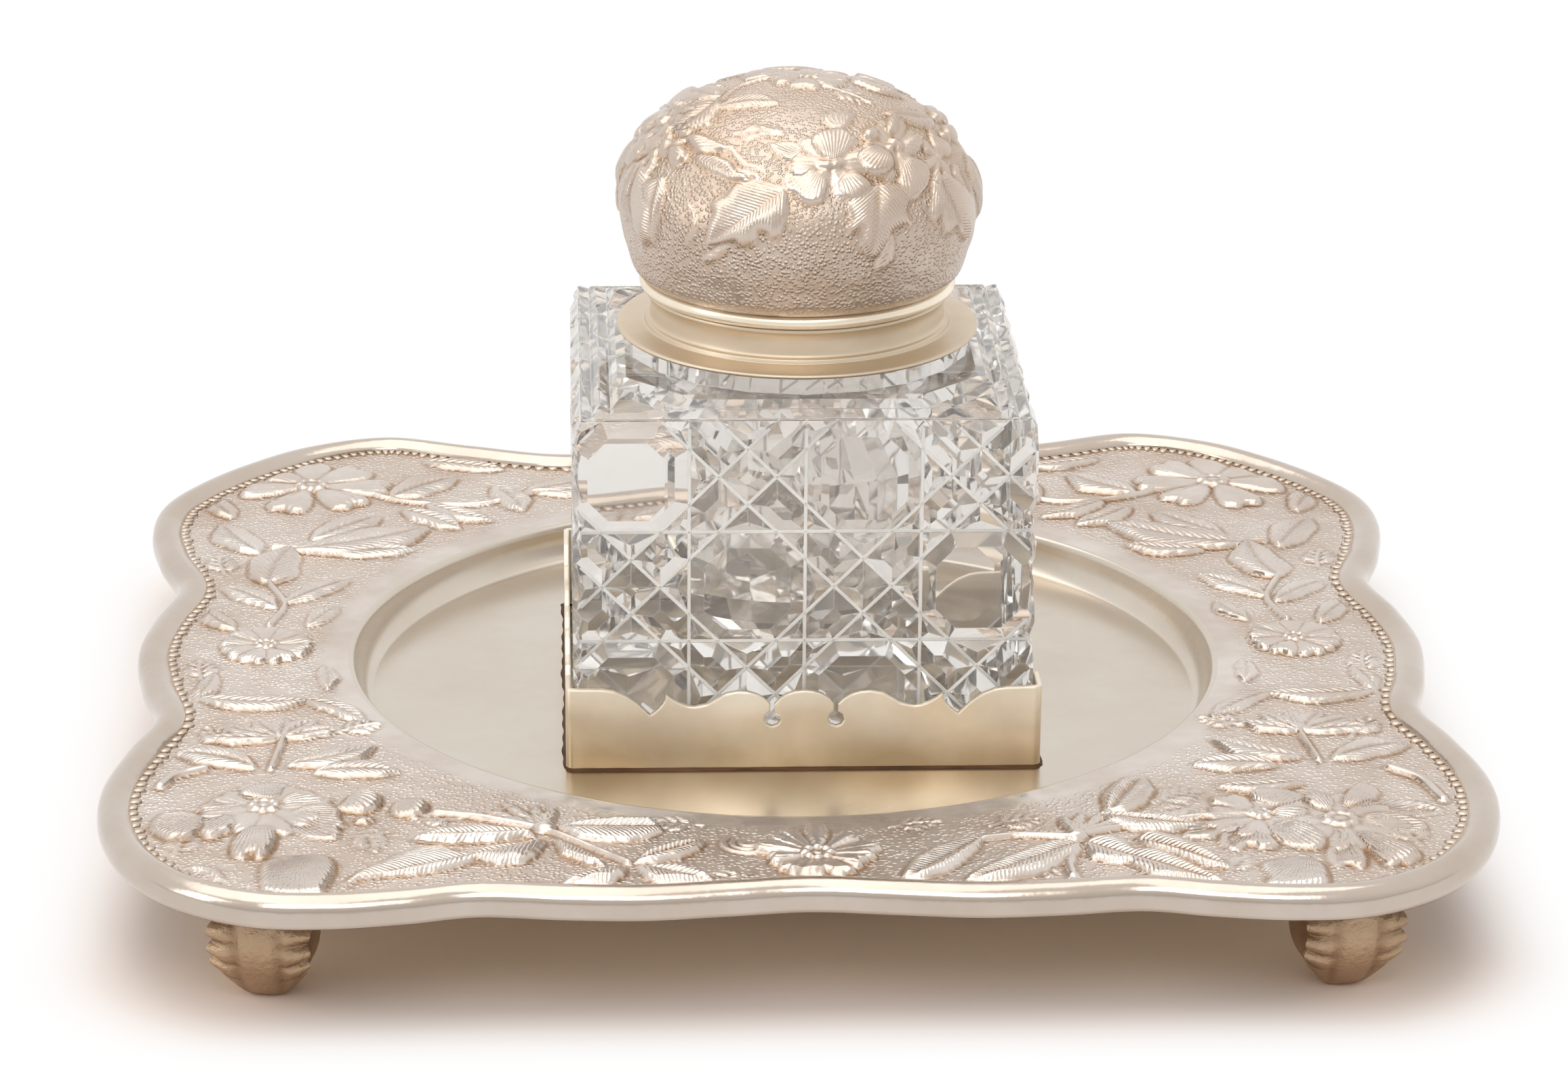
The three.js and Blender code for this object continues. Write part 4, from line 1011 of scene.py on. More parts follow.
right_petals = [
    ([(63, -84.5), (66, -82.8), (69.6, -82.6), (71.2, -84.6), (71.6, -89), (70.8, -93),
      (68.6, -95.2), (66, -95.8), (64.4, -94.4), (62.4, -92.6), (63.4, -89)], (70, -80)),
    ([(58.6, -74), (60.6, -72.4), (63.2, -73), (65.4, -75.4), (66, -78.6), (63.6, -79.4),
      (62, -77.6), (60, -79.8), (58.2, -78)], (64.5, -68)),
    ([(65.4, -71.4), (67.6, -69.6), (70, -70.4), (72.2, -73.6), (73, -77.4), (71.6, -79.6),
      (68.6, -79.2), (66.6, -77.2), (65.6, -74.6)], (64.5, -66)),
    ([(53.2, -74.6), (54.4, -71.8), (57.4, -70.2), (61, -70.6), (62.4, -72.6), (59.4, -73.2),
      (56.8, -75.4)], (64.5, -67.5)),
    ([(58.4, -62.6), (59.2, -60.4), (61.6, -60), (63.4, -61.8), (63.8, -65.4), (61, -64.4)],
     (65.5, -67)),
    ([(64, -62), (64.6, -59.4), (68, -58.8), (71, -59.4), (72.6, -61.6), (70, -64),
      (66.6, -64.6)], (65, -68)),
    ([(66.4, -66.6), (68.6, -65), (71.8, -66), (71, -68.6), (68, -69.4)], (64.5, -67)),
    ([(72.6, -80), (74.6, -78), (77, -78.4), (77.8, -82.6), (76.6, -86.4), (75, -84.8),
      (73.2, -86)], (75.5, -71)),
    ([(77.6, -74), (80.4, -75), (83.6, -78.4), (85.8, -82.4), (84.4, -86.6), (82.6, -85),
      (80.6, -86), (78.8, -81)], (75, -69)),
    ([(79.2, -68.6), (82, -67.4), (85.4, -68.4), (88, -71.2), (86.6, -74), (83.4, -73.6),
      (80.4, -71.6)], (75, -69)),
    ([(79, -66), (83, -63), (88, -63), (91.6, -66), (88.4, -67.8), (83, -67)], (75, -69)),
    ([(77, -65), (78, -60.4), (80.4, -57), (83, -58.4), (82, -62.4), (79.4, -65)], (75.5, -70)),
    ([(73.8, -72), (72.6, -75.4), (74.2, -78), (76.2, -77), (75.8, -73)], (76, -68)),
    ([(74.8, -66.6), (72, -64.6), (72.2, -60.6), (74.8, -59.6), (76.4, -63.4)], (76, -71)),
]
# The same for leaves, each followed by its root and its tip.
front_leaves = [
    ([(-65.4, -91), (-62.4, -84.8), (-59.6, -81.8), (-56.4, -78.2), (-53.6, -76.4),
      (-50.6, -75.9), (-48.6, -78.2), (-47, -78.8), (-45.4, -77), (-42.2, -75.6),
      (-39.2, -75.2), (-36.8, -73.6), (-36.2, -75.6), (-37.6, -79.8), (-39.4, -82.4),
      (-43, -83), (-46, -81.4), (-49.6, -84.2), (-53.4, -85.6), (-58.2, -86.2),
      (-62.2, -87.4)], (-36, -74), (-65, -89)),
    ([(-55.5, -74), (-52, -70.6), (-46, -69), (-38.6, -70.6), (-37.6, -72.8), (-43, -74.4),
      (-50, -75)], (-37, -71.5), (-55, -73)),
    ([(-35, -69.6), (-31, -68), (-27, -66.8), (-22, -66.8), (-18.6, -67.4), (-20.4, -69),
      (-19.8, -71.6), (-22, -73.8), (-25, -75), (-28.6, -74.8), (-32, -73.6)],
     (-35, -70), (-18.5, -70)),
    ([(-35.8, -72.5), (-33, -76.5), (-30.4, -78.6), (-27.8, -83.4), (-31, -82.6),
      (-34.4, -79.6)], (-35.8, -72.5), (-28, -83)),
    ([(-24.4, -82.6), (-22.6, -79.4), (-19.6, -77), (-16.6, -75.4), (-13.8, -74.6),
      (-15, -78.4), (-18, -81.4), (-21.6, -82.6)], (-24.4, -82.6), (-14, -75)),
    ([(-24.2, -83.4), (-21.4, -83.8), (-17.6, -84.2), (-14.4, -86.6), (-11.4, -90.4),
      (-16.6, -91.2), (-20.6, -90.4), (-23, -87.4)], (-24.2, -83.4), (-11.8, -90)),
    ([(-25.2, -83.4), (-27.4, -84.6), (-30.6, -85.6), (-34, -88.4), (-36.4, -91.8),
      (-31.6, -91.8), (-27.6, -90), (-25.4, -86.8)], (-25.2, -83.4), (-36, -91.6)),
    ([(25.4, -74), (21, -75.6), (17.2, -78.2), (14.4, -82), (13, -86), (12.2, -90.4),
      (15.6, -89.2), (19.2, -86.8), (21.8, -83), (24, -79)], (25, -74.5), (12.6, -90)),
    ([(38.6, -76.4), (34, -76.6), (30.4, -78.8), (27, -81.8), (23, -86), (19.4, -92),
      (24.2, -91), (29, -89), (33, -87), (36, -83.4), (38.6, -80)], (38.4, -77), (20, -91.4)),
    ([(38, -78.2), (40, -75.4), (42.8, -74.8), (44.9, -76.2), (46.2, -80.4), (47.4, -79.6),
      (49.8, -80.8), (52.4, -84), (55.6, -88.4), (59.2, -93.2), (56.8, -93), (53.6, -92.4),
      (50.2, -91.4), (47.8, -89.4), (45.8, -86.4), (44.6, -84.2), (42, -84),
      (39.4, -82.2)], (39, -77), (58.4, -92.6)),
    ([(46, -75), (49, -74), (53, -76.6), (56.4, -81), (59, -86.4), (55, -85.4), (51.4, -81.4),
      (48.2, -78.8)], (46, -75), (58.6, -86)),
    ([(41.6, -66.6), (46, -67), (52, -68), (56.4, -71.4), (52, -73), (46, -72.4), (42.4, -70)],
     (41.6, -67.4), (56, -71.4)),
    ([(42.6, -66), (42.8, -60), (45.6, -54.6), (50, -52.4), (51, -58), (49.2, -63),
      (46, -66.6)], (43.4, -66), (49.6, -53)),
]
print(len(left_petals) + len(right_petals), "petals and", len(front_leaves), "leaves drawn")

# %% Twigs, stems, leaves and flowers
middle_petals = [
    (28 * k + 9 * math.sin(5 * k), 8.4 + 0.8 * math.sin(2.4 * k) + 1.3 * math.sin(0.49 * k), 5.1)
    for k in range(13)
]
# Twigs at the front: root, direction in degrees, length.
front_sprigs = [
    ((-88, -78), 75, 8), ((-62, -70), 285, 8), ((-48, -66), 175, 8), ((-31, -89), 60, 6),
    ((-14, -69), 170, 9), ((-8, -86), 200, 8), ((12, -70), 15, 8), ((26, -70), 20, 9),
    ((31, -80), 285, 9), ((50, -62), 30, 9), ((56, -64), 200, 7), ((86, -78), 100, 8),
    ((58, -87), 60, 7), ((-58, -70), 200, 6),
]
# Stems at the front: points, width, rise.
front_stems = [
    ([(-36, -71), (-30, -77), (-25, -82.5)], 1.1, 0.9),
    ([(-91.5, -53.5), (-89.6, -49.6), (-85.4, -46.8)], 1.7, 0.9),
    ([(-52, -64), (-44, -66.5), (-37, -70)], 1.1, 0.9),
    ([(36.8, -80), (36.2, -85.5), (36.8, -91)], 1.6, 0.7),
    ([(39, -74), (46, -70.5), (56, -67.5), (63, -67)], 1.1, 0.8),
    ([(86, -50), (89.8, -54.6), (92, -62)], 1.7, 0.9),
    ([(25, -75), (30, -74), (37.5, -75)], 1.0, 0.9),
]
# Leaves of the right side and of the right half of the back: root, tip, width, rise, bend and
# veins. Where a leaf of the first list is mirrored, its bend is too; the others keep theirs.
turning_leaves = [
    ((78, -47), (90.5, -41), 6.5, 1.0, 1.2, 7), ((74, -46), (61, -38.5), 6.5, 1.0, 1.2, 7),
    ((70, -49), (57, -49), 6.0, 1.0, -1, 7), ((88.5, -19.5), (71, -20.5), 6.6, 0.9, 1.2, 8),
    ((73, -20), (62.5, -30), 4.4, 0.8, -1, 6), ((78, 18), (88, 28), 5.2, 0.9, 0.8, 7),
    ((77, 20), (67, 30.5), 5.4, 0.9, -0.8, 7), ((77, 44), (55, 55), 10.5, 1.25, 1.4, 10),
    ((56, 66), (44.5, 58), 5.5, 1.0, 0.8, 6), ((40, 72), (24, 82), 8.5, 1.15, 1.2, 9),
    ((38, 71), (20, 71.5), 6.5, 1.0, -1.2, 8),
]
other_leaves = [
    ((86, -9), (89, -21), 4.2, 0.8, 0.4, 5), ((70, -6), (69, -16), 3.8, 0.8, 0.4, 5),
    ((84, 9), (90, 19), 5.0, 0.9, 0.5, 5), ((73, 10), (68.5, 19), 4.4, 0.8, 0.4, 5),
    ((80, 29), (77, 46), 9.0, 1.2, 0.8, 7, 0.8), ((82, 43), (89, 57), 7.5, 1.1, 0.6, 8),
    ((74, 49), (63, 60), 7.5, 1.1, 0.6, 6), ((70, 42), (57, 44.5), 6.0, 1.0, 0.8, 6),
    ((87, 60), (92, 72), 5.5, 0.9, 0.5, 5), ((62, 69), (51, 79), 8.0, 1.1, 0.8, 7),
    ((60, 63), (50, 54), 6.0, 1.0, 0.6, 6), ((45, 75), (40, 62.5), 6.0, 1.0, 0.6, 6),
    ((57, 87), (43, 83), 5.5, 0.9, 0.6, 6), ((22, 79), (10.5, 85), 5.5, 1.0, 0.5, 6),
]
# Twigs there: root, degrees, length, rise, pairs of leaves. Stems: points, width, rise.
side_sprigs = [
    ((82, -38), 60, 9, 0.6, 3), ((67, -33), 150, 8, 0.6, 3), ((88, -12), 85, 9, 0.5, 3),
    ((87, 34), 80, 9, 0.5, 3), ((34, 85), 170, 10, 0.5, 3), ((26, 71), 175, 11, 0.6, 4),
]
side_stems = [
    ([(76, -47), (75, -38), (74, -30)], 1.0, 0.8), ([(79, 11), (77, 20), (80, 30)], 1.0, 0.8),
    ([(80, 46), (74, 45), (68, 43)], 1.2, 0.9),
    ([(66, 72), (58, 67), (48, 66), (38, 72)], 1.1, 0.8),
    ([(26, 75), (18, 78), (9, 78)], 0.9, 0.6),
]
# Flowers there: centre, petals as (degrees, length, width), rise, eye, beads, ribs.
side_flowers = [
    ((79, 2), [(a, 7.4, 6.3) for a in (10, 48, 86, 124, 162, 204, 246, 288, 330)], 1.2, 1.7, 8, 5),
    ((75, 75), [(350, 12.5, 9.5), (40, 11, 9), (88, 11, 9), (135, 12, 9.5), (185, 13.5, 9.5),
                (232, 13, 9.5), (290, 13, 9.5)], 1.25, 2.4, 8, 4),
]
print(len(turning_leaves) + len(other_leaves), "leaves for each half")

# %% Garland


def front_garland(relief):
    """The flowers and leaves between the well and the front edge."""
    for root, degrees, size in front_sprigs:
        relief.sprig(root, degrees, size, 0.4, 3)
    for outline, root, tip in front_leaves:
        relief.cut(outline, 1.35, root, 0.75, 0.7, midrib=tip)
    # under petals that fill the gaps between the drawn ones
    for centre, reach, first in (((-76, -62), 10, 10), ((64.9, -68), 9, 30), ((76, -70), 10.5, 0)):
        under = [(first + 45 * k, reach - 1.2 * (k % 2), 0.75 * reach) for k in range(8)]
        relief.flower(centre, under, 0.7, 1.5, 0, 4)
    for outline, root in left_petals + right_petals:
        relief.cut(outline, 1.28, root, 0.6, 0.9, round_off=True)
    for centre, count, size in (
        ((-76.3, -61.4), 8, 1.9), ((64.9, -67), 7, 1.5), ((76, -69.6), 9, 2.3),
        ((-62, -66.5), 5, 1.0),
    ):
        relief.bead(centre, 0.6 * size, 0.9)
        relief.ring(centre, count, 0.85 * size, 0.4 * size, 1.1)
    # the two knots that the long leaves spring from
    rays = [(100, 9), (122, 12), (142, 11), (80, 8)]
    relief.fan((-36.5, -70), rays, 2.2, 0.8)
    relief.fan((38, -74.5), [(180 - degrees, reach) for degrees, reach in rays], 2.2, 0.8)
    for knot in ((-36.5, -70), (38, -74.5)):
        relief.bead(knot, 1.8, 1.35)
    for points, width, rise in front_stems:
        relief.stem(points, width, rise)
    relief.leaf((73, -55.5), (59.5, -56.5), 4.6, 0.9, 0.8, veins=6)
    for radius in (1.2, 2.4, 3.6):
        arc = np.radians(np.linspace(150, 330, 8))
        points = [-8, -75.5] + radius * np.stack([np.cos(arc), np.sin(arc)], axis=1)
        relief.stem(points, 0.9, 0.5)
    relief.flower((1.4, -80.4), middle_petals, 1.4, 2.2, 8, 3)


def spin(degrees, side):
    """A direction on the right half, or its mirror image on the left half, where side is -1."""
    return degrees if side > 0 else 180 - degrees


def tray_ornament(relief):
    """The garland, read off the photograph in front and carried on behind the inkwell.

    The left and the right half of the sides and the back carry the same motifs, mirrored.
    """
    front_garland(relief)
    for side in (-1, 1):
        flip = np.array([side, 1])
        for root, tip, width, rise, bend, veins in turning_leaves:
            relief.leaf(flip * root, flip * tip, width, rise, side * bend, veins)
        for root, tip, *shape in other_leaves:
            relief.leaf(flip * root, flip * tip, *shape)
        for root, degrees, *shape in side_sprigs:
            relief.sprig(flip * root, spin(degrees, side), *shape)
        for points, width, rise in side_stems:
            relief.stem(flip * points, width, rise)
        rays = [
            (spin(a, side), reach)
            for a, reach in ((155, 10), (125, 9), (95, 8), (62, 9), (30, 11), (5, 12))
        ]
        relief.fan(flip * (75, -36), rays, 4.0, 0.9, 0.4, 4)
        for centre, petals, *shape in side_flowers:
            petals = [(spin(a, side), *size) for a, *size in petals]
            relief.flower(flip * centre, petals, *shape)
    relief.flower((0, 79), middle_petals, 1.3, 2.2, 8, 3)


# %% Tray relief
ray_count, ring_count = 2400, 190
well_lip = 66.4
ray_edge, ray_in, _ = tray_outline(3 * ray_count)
ray_edge = ray_edge + ray_in * 1.9  # the sheet ends under the wire
angle = np.linspace(0, 2 * np.pi, ray_count, endpoint=False)
ray_radius = np.interp(
    angle, np.arctan2(ray_edge[:, 1], ray_edge[:, 0]), np.hypot(*ray_edge.T), period=2 * np.pi
)
radius = well_lip + (ray_radius[:, None] - well_lip) * np.linspace(0, 1, ring_count)
tray_x, tray_y = radius * np.cos(angle)[:, None], radius * np.sin(angle)[:, None]
relief = Relief(tray_x, tray_y)
tray_ornament(relief)
to_wire = ray_radius[:, None] - radius
from_well = radius - well_lip
# The ornament stops short of the teeth, and grows to its height over these lengths in mm.
clear_of_wire, wire_run, well_run = 4.6, 1.4, 2.0
fade = np.clip((to_wire - clear_of_wire) / wire_run, 0, 1) * np.clip(from_well / well_run, 0, 1)
tray_share = 0.9  # of the drawn heights
tray_h = soften(relief.h.reshape(tray_x.shape)) * fade * tray_share
uneven = 0.05 * (
    np.sin(tray_x / 5.1 + 1.3) * np.sin(tray_y / 4.3) + np.sin(tray_x / 2.9 - tray_y / 3.7)
) * fade
# the depth below the neighbours darkens the colour: tarnish in the hollows, with painted shade at
# the foot of each shape
tray_hollow = grid_hollow(tray_h, 3)
tray_ground = np.clip(1 - tray_h / 0.25, 0, 1) * np.clip((from_well - 2.5) / 3, 0, 1)
tray_points = np.stack([tray_x, tray_y, ground_top + tray_h + uneven], axis=2)
tray_phase = relief.phase.reshape(tray_x.shape)
tray_comb = relief.comb.reshape(tray_x.shape) * fade
print(f"the flowers of the tray stand up to {tray_h.max():.2f} mm high")

# %% Eight sheets of the chased ground
for part, part_name in enumerate((
    "right", "back_right", "back", "back_left", "left", "front_left", "front", "front_right",
)):
    first = part * ray_count // 8 - ray_count // 16
    rays = np.arange(first, first + ray_count // 8 + 1) % ray_count
    make_piece(
        f"chased_ground_{part_name}", tray_points[rays],
        [grid_faces(len(rays), ring_count)[:, ::-1]], chased_silver,
        "tray", "tray_silver", ["tray_plate"], hollow=tray_hollow[rays],
        ground=tray_ground[rays], phase=tray_phase[rays], comb=tray_comb[rays],
    )

# %% [markdown]
# ## The well and the underside
#
# The well was sunk with a round-faced tool, so its wall meets the floor in a sharp line and
# rolls over into the ground above. Below, the sheet shows its plain back.

# %% Well and back
seat_gap = 0.2  # mm between the floor of the well and the solids that stand in it
well_floor = glass_low[2] - seat_gap
sheet_under = ground_top - 0.9  # the lower face of the sheet
wall_turn = np.linspace(0, np.pi / 2, 9)[:-1]
well_profile = [
    [0.01, well_floor], [20, well_floor], [45, well_floor], [62.6, well_floor],
    *[[62.8 + 2.6 * math.sin(a), well_floor + 5.6 * (1 - math.cos(a)) ** 0.9] for a in wall_turn],
    [65.5, ground_top - 0.35], [65.8, ground_top - 0.08], [66.1, ground_top - 0.01],
    [well_lip, ground_top],
]
well_steps = 360
well_faces = grid_faces(well_steps, len(well_profile), True)[:, ::-1]
centre_cap = (np.arange(well_steps) * len(well_profile))[None, :]
make_piece(
    "polished_well", turned(well_profile, well_steps), [well_faces, centre_cap], well_silver,
    "tray", "tray_silver",
)
back_z = plate_low[2]
back_rays = ray_radius[::8, None]
back_angle = angle[::8, None]
under_radius = well_lip + (back_rays - well_lip) * np.linspace(0, 1, 12)
under_ring = np.stack([
    under_radius * np.cos(back_angle), under_radius * np.sin(back_angle),
    np.full_like(under_radius, sheet_under),
], axis=2)
pan_profile = [
    [0.01, back_z], [30, back_z], [62.0, back_z], [65.0, back_z + 1.2], [66.2, sheet_under - 0.5],
]
under = np.concatenate([turned(pan_profile, len(back_angle)), under_ring], axis=1)
rows, columns = under.shape[:2]
under_cap = (np.arange(rows) * columns)[None, ::-1]
make_piece(
    "tray_back", under, [grid_faces(rows, columns, True), under_cap], well_silver, "tray",
    "tray_silver",
)

# %% [markdown]
# ## Solder at the gallery
#
# The gallery stands on the floor of the well in a thin line of solder. Solder tarnishes more
# than silver does, so the line has gone dark brown, and it is a little uneven.

# %% Solder line


def square_ring(half, corner, steps_side, steps_corner):
    """Points and outward directions round a square with rounded corners."""
    straight = np.linspace(corner - half, half - corner, steps_side, endpoint=False)
    bend = np.linspace(0, np.pi / 2, steps_corner, endpoint=False)
    arc = np.stack([np.cos(bend), np.sin(bend)], axis=1)
    places = np.vstack([
        np.column_stack([np.full(steps_side, half), straight]), half - corner + corner * arc
    ])
    outs = np.vstack([np.tile([1.0, 0.0], (steps_side, 1)), arc])
    turns = [np.array([[c, s], [-s, c]]) for c, s in ((1, 0), (0, 1), (-1, 0), (0, -1))]
    return [np.vstack([vectors @ turn for turn in turns]) for vectors in (places, outs)]


line_at, line_out = square_ring((gallery_high[0] - gallery_low[0]) / 2, 1.2, 90, 10)
line_at = line_at + [(gallery_high[0] + gallery_low[0]) / 2, 0]
step = np.arange(len(line_at))
bulge = 1 + 0.5 * np.sin(step * 0.23) * np.sin(step * 0.07) + 0.25 * np.sin(step * 0.9)
reach, up = np.array([
    [-0.15, 0.48], [0.03, 0.42], [0.15, 0.2], [0.4, 0.04], [0.4, -0.1], [-0.15, -0.1],
]).T
reach = np.where(reach > 0, reach * bulge[:, None], reach)
fillet = np.stack([reach, np.broadcast_to(up, reach.shape)], axis=2)
make_piece(
    "solder_line", swept(line_at, line_out, fillet, gallery_low[2] - seat_gap),
    [grid_faces(len(line_at), len(up), True, True)], dark_silver, "tray", "gallery_silver",
)

# %% [markdown]
# ## Feet
#
# Each foot is a cast shell: a smooth crowned front between lobed wings that curl back to
# meet the tray. It is a side view carried across the width, shrinking to both sides, with a
# wave on the wings for the lobes, which fades towards the table.

# %% Cast feet
foot_height, foot_width, foot_depth = 17.7, 13.8, 17.0
foot_side = smooth_line([
    [0.3, 1], [0.39, 0.93], [0.46, 0.85], [0.505, 0.77], [0.53, 0.68], [0.54, 0.59],
    [0.53, 0.5], [0.5, 0.41], [0.45, 0.32], [0.385, 0.235], [0.31, 0.15], [0.22, 0.06],
    [0.12, 0], [-0.08, 0], [-0.17, 0.07], [-0.2, 0.25], [-0.26, 0.47], [-0.38, 0.68],
    [-0.47, 0.84], [-0.48, 1],
], 5)


def foot_points(place, turn, steps=81):
    """The side view swept across: a smooth bulb in the middle, ribbed lobes at the wings.

    The lobes are half waves round the heart of the side view. They also push the sides out, so
    the outline is scalloped, and the whole foot draws in towards its round bottom.
    """
    across = np.sin(np.linspace(-np.pi / 2, np.pi / 2, steps))[:, None]
    forward, up = foot_side[None, :, 0], foot_side[None, :, 1]
    wing = np.clip((np.abs(across) - 0.4) / 0.6, 0, 1)
    scale = 1 - 0.2 * wing**2 - 0.06 * across**4
    heart_f, heart_u = 0.08, 0.62
    facing = np.clip((forward - heart_f) / 0.25, 0, 1)
    around = np.arctan2(up - heart_u, forward - heart_f)
    fading = np.clip((around + 1.25) / 0.5, 0, 1)
    lobes = (np.abs(np.sin(around * 7.4 + 0.5 + 0.5 * np.abs(across))) ** 0.8 - 0.5) * fading
    bulb = 0.035 * np.clip(1 - (across / 0.5) ** 2, 0, 1) * facing
    f = heart_f + (forward - heart_f) * scale + 0.07 * lobes * facing * wing**0.5 + bulb
    groove = -0.02 * np.exp(-(((np.abs(across) - 0.44) / 0.1) ** 2)) * facing
    u = np.where(up > 0.999, 1, heart_u + (up - heart_u) * (1 - 0.2 * wing**2))
    draw_in = np.sqrt(1 - 0.6 * np.clip(1 - up / 0.42, 0, 1) ** 2)
    y = -(f + groove) * foot_depth
    x = across * foot_width / 2 * draw_in * (1 + 0.12 * lobes * facing * wing)
    z = np.clip(u, 0, 1) * foot_height
    c, s = math.cos(turn), math.sin(turn)
    # darker between the lobes and in the side groove: tarnish, with painted shade
    hollow = np.clip(0.2 - lobes, 0, 1) * facing * wing**0.5 + np.clip(-groove * 14, 0, 1)
    points = np.stack([place[0] + x * c - y * s, place[1] + x * s + y * c, z], axis=2)
    return points, np.clip(hollow, 0, 0.9)


foot_turn = math.radians(8)
for foot_name, foot_x, foot_y, foot_angle in (
    ("front_left", -75, -81, -foot_turn), ("front_right", 75, -81, foot_turn),
    ("back_left", -75, 80, math.pi + foot_turn), ("back_right", 75, 80, math.pi - foot_turn),
):
    points, hollow = foot_points((foot_x, foot_y), foot_angle)
    rows, columns = points.shape[:2]
    side_cap = np.arange(columns)[None, :]
    far_cap = side_cap + (rows - 1) * columns
    make_piece(
        f"shell_foot_{foot_name}", points,
        [grid_faces(rows, columns, False, True), side_cap[:, ::-1], far_cap],
        cast_silver, "tray", "cast_silver", [f"foot_{foot_name}"], hollow=hollow,
    )

# %% [markdown]
# ## Collar, bezel and bead
#
# These rings were spun and turned, so each is one profile carried round the axis of the glass.

# %% Turned rings


def turned_piece(name, ring, steps, material, *where):
    """A piece from one closed profile, turned about the axis of the glass."""
    faces = grid_faces(steps, len(ring), True, True)[:, ::-1]
    make_piece(name, turned(ring, steps, axis_x), [faces], material, *where)


collar_line = smooth_line([
    [26.6, 0], [27.0, 0.35], [26.6, 0.7], [24.8, 0.86], [23.1, 1.02], [22.85, 1.3], [22.7, 1.65],
    [22.25, 1.85], [22.0, 2.3], [21.95, 3.6], [22.05, 4.6], [22.35, 5.3], [22.7, 5.75],
    [22.6, 6.2],
], 4)
collar_ring = np.vstack([collar_line, [[21.4, 6.2], [21.25, 6.0], [21.25, 0.2], [21.45, 0]]])
turned_piece(
    "spun_collar", collar_ring + [0, collar_low[2]], 240, spun_silver, "inkwell",
    "collar_silver", ["collar"],
)
bezel_foot, bezel_top = bezel_low[2], bezel_high[2]
bezel_ring = [
    [20.35, bezel_foot], [20.95, bezel_foot], [20.98, bezel_top - 0.5], [20.85, bezel_top - 0.1],
    [20.6, bezel_top], [20.4, bezel_top - 0.15],
]
turned_piece(
    "inner_bezel", bezel_ring, 180, spun_silver, "inkwell", "collar_silver", ["collar_bezel"]
)
bead_middle = (bead_low[2] + bead_high[2]) / 2
bead_turn = np.linspace(-np.pi / 2, np.pi / 2, 13)
bead_ring = [
    [22.8, bead_low[2]],
    *[[22.9 + 0.7 * math.cos(a), bead_middle + 0.9 * math.sin(a)] for a in bead_turn],
    [22.8, bead_high[2]],
]
turned_piece(
    "drawn_bead", bead_ring, 240, burnished_silver, "lid", "polished_silver", ["lid_bead"]
)

# %% [markdown]
# ## The embossed lid
#
# The dome is a turned profile with the relief added along its own normal. Along the dome the
# ornament is measured from the foot, and round it in millimetres at that height, so that a
# flower keeps its shape. Near the crown, where the lines crowd, the ornament is placed on a
# flat map of the top instead.

# %% Lid profile
dome = np.array([
    [0.868, 0.068], [0.918, 0.12], [0.968, 0.235], [0.995, 0.355], [1, 0.449], [0.982, 0.535],
    [0.93, 0.625], [0.84, 0.73], [0.72, 0.82], [0.57, 0.89], [0.37, 0.95], [0.16, 0.988],
    [0.002, 1],
]) * [27, lid_high[2] - lid_low[2]] + [0, lid_low[2]]
dome_line = smooth_line(dome, 8)
dome_run = np.concatenate([[0], np.cumsum(np.linalg.norm(np.diff(dome_line, axis=0), axis=1))])
arc_count, turn_count = 164, 520
arc = np.linspace(0, dome_run[-1], arc_count)
dome_r = np.interp(arc, dome_run, dome_line[:, 0])
dome_z = np.interp(arc, dome_run, dome_line[:, 1])
slope = np.stack([np.gradient(dome_r), np.gradient(dome_z)], axis=1)
slope /= np.linalg.norm(slope, axis=1, keepdims=True)
lid_turn = np.linspace(-np.pi, np.pi, turn_count, endpoint=False)

# %% Strips of the dome


def lid_patch(centre_degrees):
    """Relief over a strip of the dome: across is measured round the dome from a middle line."""
    away = (lid_turn[:, None] - math.radians(centre_degrees) + np.pi) % (2 * np.pi) - np.pi
    strip_half, out_of_reach = 1.75, 999  # radians to each side, and mm past every shape
    across = np.where(np.abs(away) < strip_half, away * dome_r, out_of_reach)
    return Relief(across, arc + 0 * away)


